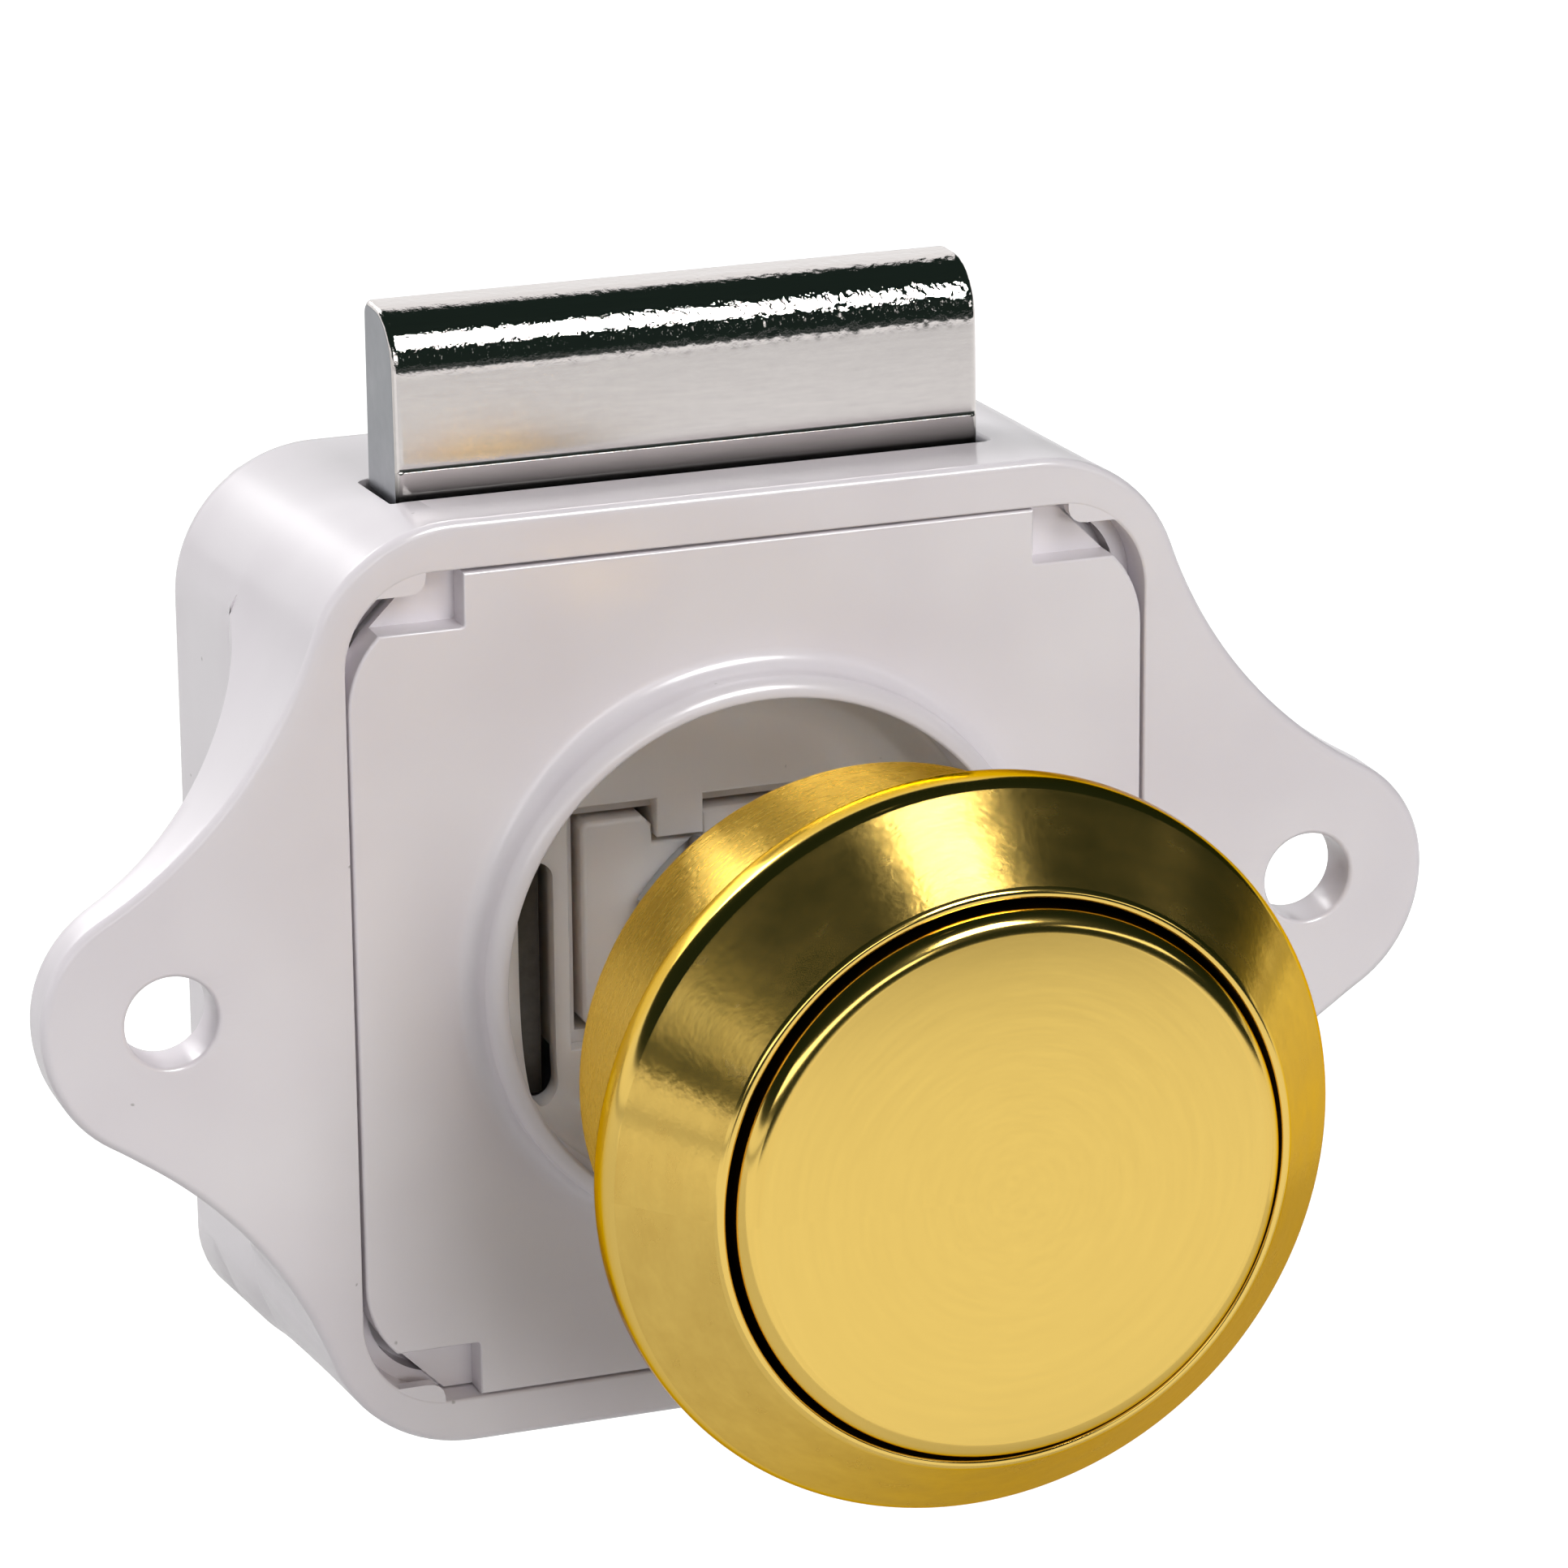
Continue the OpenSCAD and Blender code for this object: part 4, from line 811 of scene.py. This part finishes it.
cover = slab("front_cover_plate", cover_outline(), 0, COVER_T, edge0=COVER_EDGE_R)
for flip_x in (False, True):
    for flip_z in (False, True):
        pocket = rounded_loop(POCKET_IN, COVER_HALF_W + 2, POCKET_LOW, COVER_TOP + 2, 0.15, 3)
        pocket = slab("cutter", pocket, 0, POCKET_DEPTH, edge0=0.12, outward=True)
        join_mesh(cover, mirrored(pocket, flip_x, flip_z))
foot = arc((COLLAR_R + COLLAR_FOOT, -COLLAR_FOOT), COLLAR_FOOT, 90, 180, 5)
collar = np.concatenate([[(BOWL_R - 1, 0.5), (COLLAR_R + COLLAR_FOOT, 0.5)], foot,
                         arc((COLLAR_R - COLLAR_ROUND, COLLAR_ROUND - COLLAR_H), COLLAR_ROUND, 0, -90, 12),
                         [(BOWL_R - 1, -COLLAR_H)]])
join_mesh(cover, turned("collar", collar, 192), "UNION")
join_mesh(cover, drill(BOWL_R, -COLLAR_H, COVER_T + 1, 0.16))
finish(cover, white_abs)
smooth(cover)
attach(cover, "housing")
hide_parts("front_cover")


# Bolt. Die-cast zinc with bright nickel plating, riveted to the fork. Its front edge is rounded so that the
# door pushes it in as it shuts. The flat face is smooth, the round is pitted from casting and tumbling.
BOLT_HALF_W, BOLT_FRONT, BOLT_BACK, BOLT_TOP, BOLT_FOOT = 13.7, 5.5, 10.0, 29.05, 20.5
BOLT_LEAN, BOLT_ROUND_R, BOLT_BACK_R, BOLT_END_R = math.radians(1.8), 2.6, 0.7, 0.3
TONGUE_HALF_W, TONGUE_FRONT, TONGUE_LOW, RIVET_X, RIVET_Z, RIVET_R = 12.1, 7.2, 14.577, 5.0, 15.777, 0.85
STEP_Z, STEP_DEPTH, STEP_H = 22.1, 0.004, 0.0064
PIT_WAVES, PIT_DEPTH, PIT_LENGTH, PIT_SEED, PIT_CENTRE = 70, 0.011, (0.35, 1.3), 7, 3.0
# The pits fade in over a rise, out over a depth at the flat top, and grow over a stretch from the left
PIT_RISE, PIT_OUT, PIT_LEFT = (-0.2, 0.4), (8.9, 9.4), (-8.0, 4.0)
BOLT_COLUMNS, FACE_ROWS, ROUND_ROWS = 300, 24, 64
# The darkest nickel tone is grime and painted shade, for the bolt's foot down by the case
NICKEL_LIGHT, NICKEL_SHADE, NICKEL_GRIME_AND_SHADE = "#E4DEDB", "#D6D0CE", "#2B2B2A"
# The casting's two ends are duller, and painted a darker bluish grey: a painted reflection of the dim
# surroundings they face
END_REFLECTION_LIGHT, END_REFLECTION_SHADE = "#A9ABB0", "#9A9CA1"


def bolt_profile(within):
    """The bolt's section as (y, z), moved in by a distance: leaning front face, large round, top, small
    back round and back face, with points close together on the round."""
    y0, y1, top = BOLT_FRONT + within, BOLT_BACK - within, BOLT_TOP - within
    r, back_r = BOLT_ROUND_R - within, BOLT_BACK_R - within * 0.8
    lean = math.tan(BOLT_LEAN)
    cz = top - r
    start = np.array([y0 + STEP_DEPTH, STEP_Z + STEP_H])
    cy = start[0] + lean * (cz - start[1]) + r
    foot = np.array([(y0, BOLT_FOOT), (y0, STEP_Z - 0.1), (y0, STEP_Z)])
    face = np.linspace(0, 1, FACE_ROWS)[:-1, None] * [lean * (cz - start[1]), cz - start[1]] + start
    top_run = np.linspace(0, 1, 6)[1:-1, None] * [y1 - back_r - cy, 0] + [cy, top]
    return np.concatenate([foot, face, arc((cy, cz), r, 180, 90, ROUND_ROWS), top_run,
                           arc((y1 - back_r, top - back_r), back_r, 90, 0, 7), [(y1, BOLT_FOOT)]])


def pits(x, z, spread):
    """Pitting depth in millimetres: a sum of plane waves of random length and direction, fading in with
    spread."""
    draw = np.random.default_rng(PIT_SEED)
    angle, phase = draw.uniform(0, math.pi, PIT_WAVES), draw.uniform(0, 2 * math.pi, PIT_WAVES)
    k = 2 * math.pi / draw.uniform(*PIT_LENGTH, PIT_WAVES)
    wave = np.sin(x[..., None] * k * np.cos(angle) + z[..., None] * k * np.sin(angle) + phase)
    return PIT_DEPTH * wave.sum(-1) / math.sqrt(PIT_WAVES) * spread


turn = np.radians(np.linspace(90, 0, 6))
ends, steps = BOLT_END_R * (1 - np.cos(turn)), BOLT_END_R * (1 - np.sin(turn))
plain_x = np.linspace(-BOLT_HALF_W + BOLT_END_R, BOLT_HALF_W - BOLT_END_R, BOLT_COLUMNS)[1:-1]
xs = np.concatenate([-BOLT_HALF_W + steps, plain_x, BOLT_HALF_W - steps[::-1]])
within = np.concatenate([ends, np.zeros(len(plain_x)), ends[::-1]])
rings = np.array([np.insert(bolt_profile(inwards), 0, SLIDE_X + x, axis=1) for x, inwards in zip(xs, within)])
plain = bolt_profile(0)
along = np.cumsum(np.linalg.norm(np.diff(plain, axis=0, prepend=plain[:1]), axis=1))
round_z = BOLT_TOP - BOLT_ROUND_R
fade = np.interp(rings[..., 2] - round_z, PIT_RISE, (0, 1)) * np.interp(rings[..., 1], PIT_OUT, (1, 0))
fade *= np.interp(rings[..., 0], PIT_LEFT, (0.25, 1))
sunk = np.abs(pits(rings[..., 0], np.broadcast_to(along, rings.shape[:2]), fade))
inward = np.array([BOLT_FRONT + PIT_CENTRE, BOLT_TOP - PIT_CENTRE]) - rings[..., 1:]
rings[..., 1:] += inward / np.linalg.norm(inward, axis=-1, keepdims=True) * sunk[..., None]
bolt = skin("bolt_head", rings)
tongue = rounded_loop(SLIDE_X - TONGUE_HALF_W, SLIDE_X + TONGUE_HALF_W, TONGUE_LOW, BOLT_FOOT + 0.2, 0.15)
join_mesh(bolt, slab("tongue", tongue, TONGUE_FRONT, BOLT_BACK - 0.001, 0.15), "UNION")
for side in (-1, 1):
    rivet_hole = plug(RIVET_R, TONGUE_FRONT - 1, BOLT_BACK + 1)
    join_mesh(bolt, moved(rivet_hole, x=SLIDE_X + side * RIVET_X, z=RIVET_Z))

# Bright nickel is a mirror with a faint warmth: crisp on the round, and softened on the flat face by fine
# brushing along X. Heights in metres over which the face turns into the round, and grime and painted shade
# darken the foot:
FACE_TO_ROUND, GRIME_AND_SHADE_FADE = (0.0262, 0.0272), (0.0210, 0.0221)
PLATING_MARK_MM, BRUSH_MM, BRUSH_STRETCH = 0.5, 0.25, 0.12
# Roughness and strength of the marks, each on the flat face and on the round
NICKEL_GLOSS, NICKEL_MARKS, MARK_DEPTH_MM, LEAST_GRIME_AND_SHADE = (0.13, 0.015), (0.03, 1.0), 0.03, 0.15
nickel, tree = new_material("nickel_plated_zinc_casting")
place = add(tree, "TexCoord").outputs["Object"]
height = add(tree, "SeparateXYZ", {}, {"Vector": place}).outputs["Z"]
on_round = add(tree, "MapRange", {"From Min": FACE_TO_ROUND[0], "From Max": FACE_TO_ROUND[1]},
               {"Value": height})
marks = noise(tree, place, PLATING_MARK_MM, 4.0, 0.65)
streak = add(tree, "Mapping", {"Scale": (BRUSH_STRETCH, 1.0, 1.0)}, {"Vector": place}).outputs[0]
colour = add(tree, "Mix", {"data_type": "RGBA", "A": linear(NICKEL_LIGHT), "B": linear(NICKEL_SHADE)},
             {0: noise(tree, streak, BRUSH_MM, 3.0, 0.6)})
# Grime and painted shade: below the step the foot darkens towards the case, where the gap shades it
grime_and_shade = add(tree, "MapRange", {"From Min": GRIME_AND_SHADE_FADE[0], "From Max": GRIME_AND_SHADE_FADE[1], "To Min": 1.0,
                               "To Max": LEAST_GRIME_AND_SHADE}, {"Value": height})
below = add(tree, "Math", {"operation": "LESS_THAN", 1: STEP_Z / 1000}, {0: height})
grime_and_shade = add(tree, "Math", {"operation": "MULTIPLY"}, {0: grime_and_shade.outputs[0], 1: below.outputs[0]})
colour = add(tree, "Mix", {"data_type": "RGBA", "B": linear(NICKEL_GRIME_AND_SHADE)},
             {0: grime_and_shade.outputs[0], 6: colour.outputs[2]})
gloss = add(tree, "MapRange", {"To Min": NICKEL_GLOSS[0], "To Max": NICKEL_GLOSS[1]},
            {"Value": on_round.outputs[0]})
gloss = add(tree, "Math", {"operation": "MULTIPLY_ADD", 1: 0.03}, {0: marks, 2: gloss.outputs[0]})
amount = add(tree, "MapRange", {"To Min": NICKEL_MARKS[0], "To Max": NICKEL_MARKS[1]},
             {"Value": on_round.outputs[0]})
bump = add(tree, "Bump", {"Distance": MARK_DEPTH_MM / 1000}, {"Height": marks, "Strength": amount.outputs[0]})
shader = add(tree, "BsdfPrincipled", {"Metallic": 1.0}, {
    "Base Color": colour.outputs[2], "Roughness": gloss.outputs[0], "Normal": bump.outputs[0]})
add(tree, "OutputMaterial", {}, {"Surface": shader.outputs[0]})
end_painted_reflection = bare_metal("nickel_end_painted_reflection", END_REFLECTION_LIGHT, END_REFLECTION_SHADE, roughness=0.34, grain=0.6,
                      stretch=1.0, depth=0.004)
finish(bolt, nickel, end_painted_reflection)
end_x = (BOLT_HALF_W - 0.02) / 1000
# The two end faces get the darker grey, a painted reflection
for face in bolt.data.polygons:
    face.material_index = int(abs(face.center.x - SLIDE_X / 1000) > end_x)
smooth(bolt)
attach(bolt, "bolt_slide")
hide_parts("bolt")


# Rosette. Turned brass, lacquered: a sleeve that fills the door's hole and a bevelled ring in front. The
# sleeve is satin, the bevel is brushed round and round, and the thin lip at the button is polished.
RING_R, RING_BACK, RING_EDGE, RING_FRONT, RING_SOFT, RING_TURN = 16.05, -24.9, -26.5, -30.5, 0.35, 1.3
SLEEVE_R, SLEEVE_BORE_R, SLEEVE_END, SLEEVE_FLOOR_T, ROD_HOLE_R = 13.0, 12.2, -13.8, 1.5, 2.8
LIP_W, LIP_ROUND, BORE_ROUND, SLEEVE_ROUND = 0.45, 0.25, 0.12, 0.2
BRASS_LIGHT, BRASS_SHADE, BRASS_RIM = "#EFCC6E", "#D0AB55", "#E0B85E"
# Dark brass for the bore behind the button: painted shade, so that the gap round the button stays black
BORE_SHADE_LIGHT, BORE_SHADE_DARK = "#4E4024", "#2E2615"
BRASS_GRAIN_MM = 0.28

lip_outer = SLEEVE_BORE_R + LIP_W
lean = math.degrees(math.atan2(RING_R - lip_outer, RING_EDGE - RING_FRONT))
turn_y = RING_EDGE + RING_TURN * math.tan(math.radians(lean / 2))
soft_turn = arc((RING_R - RING_TURN, turn_y), RING_TURN, 0, -lean, 9)
lip = arc((lip_outer - LIP_ROUND, RING_FRONT + LIP_ROUND), LIP_ROUND, -lean, -90, 5)
bevel = lip[0] + (soft_turn[-1] - lip[0]) * np.linspace(1, 0, 40)[1:-1, None]
sleeve_y = np.linspace(SLEEVE_END - 1, RING_BACK + SLEEVE_ROUND, 10)
sleeve_floor = SLEEVE_END - SLEEVE_FLOOR_T
rosette_profile = np.concatenate([
    [(ROD_HOLE_R, SLEEVE_END)], arc((SLEEVE_R - RING_SOFT, SLEEVE_END - RING_SOFT), RING_SOFT, 90, 0, 6),
    np.stack([np.full(10, SLEEVE_R), sleeve_y], -1),
    arc((SLEEVE_R + SLEEVE_ROUND, RING_BACK + SLEEVE_ROUND), SLEEVE_ROUND, 180, 270, 5),
    arc((RING_R - RING_SOFT, RING_BACK - RING_SOFT), RING_SOFT, 90, 0, 6), soft_turn, bevel, lip,
    arc((SLEEVE_BORE_R + BORE_ROUND, RING_FRONT + BORE_ROUND), BORE_ROUND, -90, -180, 4),
    [(SLEEVE_BORE_R, sleeve_floor), (ROD_HOLE_R, sleeve_floor)]])
rosette = turned("rosette_ring", rosette_profile, 256)


def unwrap_turned(item, name="turning"):
    """A UV map in millimetres for a turned piece: U is the radius less the depth, which runs along the
    profile, and V is the angle times ten millimetres. Loops past the seam get a whole turn more."""
    mesh = item.data
    corner = values(mesh.loops, "vertex_index", kind=np.int32)
    size = values(mesh.polygons, "loop_total", kind=np.int32)
    at = values(mesh.vertices, "co", 3)[corner] * 1000
    face = np.repeat(values(mesh.polygons, "center", 3), size, axis=0)
    base = np.arctan2(face[:, 2], face[:, 0])
    turn = base + (np.arctan2(at[:, 2], at[:, 0]) - base + math.pi) % (2 * math.pi) - math.pi
    uv = np.stack([np.hypot(at[:, 0], at[:, 2]) - at[:, 1], turn * 10], -1)
    layer = mesh.uv_layers.new(name=name)
    layer.data.foreach_set("uv", uv.astype(np.float32).ravel())


def paint(item, where, index):
    """Gives a material index to the faces whose centre, as (radius, y) in millimetres, a test picks."""
    faces = item.data.polygons
    middle = values(faces, "center", 3) * 1000
    picked = where(np.hypot(middle[:, 0], middle[:, 2]), middle[:, 1])
    chosen = np.where(picked, index, values(faces, "material_index", kind=np.int32))
    faces.foreach_set("material_index", chosen.astype(np.int32))


def brass(name, roughness, anisotropy, line_mm, line_turn, line_bump, grain_bump, tone=0.5, swing=0.1):
    """Lacquered brass. Lines come from noise on the turning UV, fine along the profile and long round the
    axis; they shift the tone and lift the skin, as does a fine grain. Anisotropy spreads highlights across
    the lines."""
    made, tree = new_material(name)
    flat = add(tree, "UVMap", {"uv_map": "turning"}).outputs[0]
    place = add(tree, "TexCoord").outputs["Object"]
    line = add(tree, "Mapping", {"Scale": (1 / line_mm, 1 / line_turn, 1.0)}, {"Vector": flat}).outputs[0]
    line = add(tree, "TexNoise", {"Scale": 1.0, "Detail": 4.0, "Roughness": 0.7}, {"Vector": line})
    line, grain = line.outputs["Fac"], noise(tree, place, BRASS_GRAIN_MM)
    mix = add(tree, "Math", {"operation": "MULTIPLY", 1: tone}, {0: line})
    colour = add(tree, "Mix", {"data_type": "RGBA", "A": linear(BRASS_LIGHT), "B": linear(BRASS_SHADE)},
                 {0: mix.outputs[0]})
    gloss = add(tree, "MapRange", {"From Min": 0.25, "From Max": 0.75, "To Min": roughness * (1 - swing),
                                   "To Max": roughness * (1 + swing)}, {"Value": line})
    bump = add(tree, "Bump", {"Strength": 1.0, "Distance": grain_bump / 1000}, {"Height": grain})
    bump = add(tree, "Bump", {"Strength": 1.0, "Distance": line_bump / 1000},
               {"Height": line, "Normal": bump.outputs[0]})
    way = add(tree, "Tangent", {"direction_type": "UV_MAP", "uv_map": "turning"})
    shader = add(tree, "BsdfPrincipled", {"Metallic": 1.0, "Anisotropic": anisotropy,
                                          "Specular Tint": linear(BRASS_RIM)}, {
        "Base Color": colour.outputs[2], "Roughness": gloss.outputs[0], "Normal": bump.outputs[0],
        "Tangent": way.outputs[0]})
    add(tree, "OutputMaterial", {}, {"Surface": shader.outputs[0]})
    return made


# Polished brass mirrors the studio. Brushing round the axis draws its highlights out into fans across the
# lines, and the satin sleeve glows evenly. Real brush lines are a few hundredths of a millimetre apart: they
# are drawn about 0.2 mm apart, so that they show. The bore behind the button is painted a dark brass:
# painted shade, so that the gap round the button stays black.
polished = brass("polished_lacquered_brass", roughness=0.13, anisotropy=0.0, line_mm=0.3, line_turn=20.0,
                 line_bump=0.0004, grain_bump=0.0006)
brushed_round = brass("brushed_lacquered_brass", roughness=0.25, anisotropy=0.95, line_mm=0.18, line_turn=2.6,
                      line_bump=0.02, grain_bump=0.003, tone=1.0, swing=0.2)
satin = brass("satin_lacquered_brass", roughness=0.28, anisotropy=0.93, line_mm=0.2, line_turn=1.0,
              line_bump=0.02, grain_bump=0.015, tone=0.8, swing=0.2)
unwrap_turned(rosette)
bore_shade_brass = bare_metal("bore_painted_shade_brass", BORE_SHADE_LIGHT, BORE_SHADE_DARK, roughness=0.5, grain=0.6,
                        stretch=1.0, depth=0.004)
finish(rosette, polished, brushed_round, satin, bore_shade_brass)
edge_r, edge_y = soft_turn[-1]
paint(rosette, lambda r, y: (r > lip_outer + 0.02) & (r < edge_r) & (y < edge_y + 0.01), 1)
paint(rosette, lambda r, y: (r < SLEEVE_R + 0.01) & (y > RING_BACK), 2)
# The bore gets the dark brass, painted shade for the gap round the button
paint(rosette, lambda r, y: (r < SLEEVE_BORE_R + 0.01) & (y < SLEEVE_END - 1), 3)
smooth(rosette, 40)
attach(rosette, "housing")
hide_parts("rosette")


# Push button. A turned brass cap with a faintly crowned satin face and a polished edge. It slides in the
# rosette's sleeve, and a threaded boss inside holds it on the rod.
BUTTON_R, BUTTON_FACE, BUTTON_L, BUTTON_WALL, BUTTON_ROUND, BUTTON_CROWN = 11.9, -31.9, 11.5, 1.2, 0.85, 0.42
BOSS_R, BOSS_BORE_R, ROD_FRONT, BOSS_ROOM, CROWN_POWER = 4.5, 2.55, -29.6, 1.6, 2.6

edge_face = BUTTON_FACE + BUTTON_CROWN
radii = np.linspace(0, BUTTON_R - BUTTON_ROUND, 28)
crown = np.stack([radii, BUTTON_FACE + BUTTON_CROWN * (radii / radii[-1]) ** CROWN_POWER], -1)
inner_r, skirt = BUTTON_R - BUTTON_WALL, BUTTON_FACE + BUTTON_L
boss_room, boss_end = BUTTON_FACE + BOSS_ROOM, skirt - 1
button_profile = np.concatenate([
    crown, arc((BUTTON_R - BUTTON_ROUND, edge_face + BUTTON_ROUND), BUTTON_ROUND, -90, 0, 9)[1:],
    np.stack([np.full(8, BUTTON_R), np.linspace(edge_face + 1, skirt - 0.2, 8)], -1),
    [(BUTTON_R - 0.2, skirt), (inner_r + 0.15, skirt), (inner_r, skirt - 0.15), (inner_r, boss_room),
     (BOSS_R, boss_room), (BOSS_R, boss_end - 0.2), (BOSS_R - 0.2, boss_end), (BOSS_BORE_R + 0.2, boss_end),
     (BOSS_BORE_R, boss_end - 0.2), (BOSS_BORE_R, ROD_FRONT), (0, ROD_FRONT)]])
button = turned("push_button_cap", button_profile, 224)
unwrap_turned(button)
button_face = brass("satin_button_brass", roughness=0.24, anisotropy=0.0, line_mm=0.4, line_turn=6.0,
                    line_bump=0.0003, grain_bump=0.0005, tone=0.25)
finish(button, polished, button_face)
paint(button, lambda r, y: (r < BUTTON_R - BUTTON_ROUND) & (y < edge_face + 0.05), 1)
smooth(button, 40)
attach(button, "knob")
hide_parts("push_button")


# Rod and lock nut. An M5 rod with a rolled thread joins the button to the slide, and a thin hexagon nut
# locks it there. Both are zinc-plated steel.
ROD_R, THREAD_PITCH, THREAD_DEPTH, ROD_SHOULDER, ROD_END = 2.5, 0.8, 0.43, 6.0, 14.0
NUT_FLAT_R, NUT_FRONT, NUT_BACK, NUT_BORE_R, NUT_CHAMFER_R = 3.3, 4.0, 6.0, 2.55, 3.35
NUT_TURN, NUT_CONE, NUT_CONE_H, NUT_BEVEL = math.radians(45), math.radians(58), 0.32, 0.25
# Half the root and one flank of the thread, as shares of its pitch
THREAD_ROOT, THREAD_FLANK = 0.08, 0.34
ROD_COLUMNS, ROD_ROWS, ROD_CHAMFER, NUT_COLUMNS = 48, 390, 0.3, 144


def thread_radius(turn, y):
    """Radius of the rod at an angle and depth: the root, flanks and crest of a thread repeat along a line
    that climbs one pitch a turn, and run out over one pitch at each end."""
    phase = np.mod((y - ROD_FRONT) / THREAD_PITCH - turn / (2 * math.pi), 1)
    groove = np.clip((np.abs(phase - 0.5) - THREAD_ROOT) / THREAD_FLANK, 0, 1)
    ends = np.clip(np.minimum(y - ROD_FRONT, ROD_SHOULDER - y) / THREAD_PITCH, 0, 1)
    return ROD_R - THREAD_DEPTH * (1 - groove) * ends


turn = np.linspace(0, 2 * math.pi, ROD_COLUMNS, endpoint=False)
t, y = np.meshgrid(turn, np.linspace(ROD_FRONT, ROD_SHOULDER, ROD_ROWS))
radius = thread_radius(t, y)
radius[0] -= ROD_CHAMFER
tail_y = np.array([ROD_SHOULDER, ROD_END - ROD_CHAMFER, ROD_END])
tail_r = np.array([0, 0, -ROD_CHAMFER]) + ROD_END_R - 0.05
y = np.concatenate([y, np.repeat(tail_y[:, None], ROD_COLUMNS, 1)])
radius = np.concatenate([radius, np.repeat(tail_r[:, None], ROD_COLUMNS, 1)])
t = np.broadcast_to(turn, y.shape)
rod = skin("threaded_rod", np.stack([radius * np.cos(t), y, radius * np.sin(t)], -1))

turn = np.linspace(0, 2 * math.pi, NUT_COLUMNS, endpoint=False)
hexagon = NUT_FLAT_R / np.cos(np.mod(turn - NUT_TURN, math.pi / 3) - math.pi / 6)
levels = np.linspace(0, NUT_CONE_H, 5)
cone = NUT_CHAMFER_R + levels * math.tan(NUT_CONE)
side = np.concatenate([np.stack([np.minimum(hexagon, c) for c in cone]),
                       np.stack([np.minimum(hexagon, c) for c in cone[::-1]])])
side_y = np.concatenate([NUT_FRONT + levels, NUT_BACK - levels[::-1]])
bore_r = np.array([NUT_BORE_R, NUT_BORE_R, NUT_BORE_R + NUT_BEVEL])
bore_y = np.array([NUT_BACK, NUT_FRONT + NUT_BEVEL, NUT_FRONT])
radius = np.concatenate([side, np.repeat(bore_r[:, None], NUT_COLUMNS, 1)])
y = np.concatenate([side_y, bore_y])[:, None] + np.zeros(NUT_COLUMNS)
nut = skin("lock_nut", np.stack([radius * np.cos(turn), y, radius * np.sin(turn)], -1), last_joins_first=True)
for piece, node in ((rod, "button_stem"), (nut, "stem_nut")):
    finish(piece, zinc_plated)
    smooth(piece, 25)
    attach(piece, "knob")
    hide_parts(node)
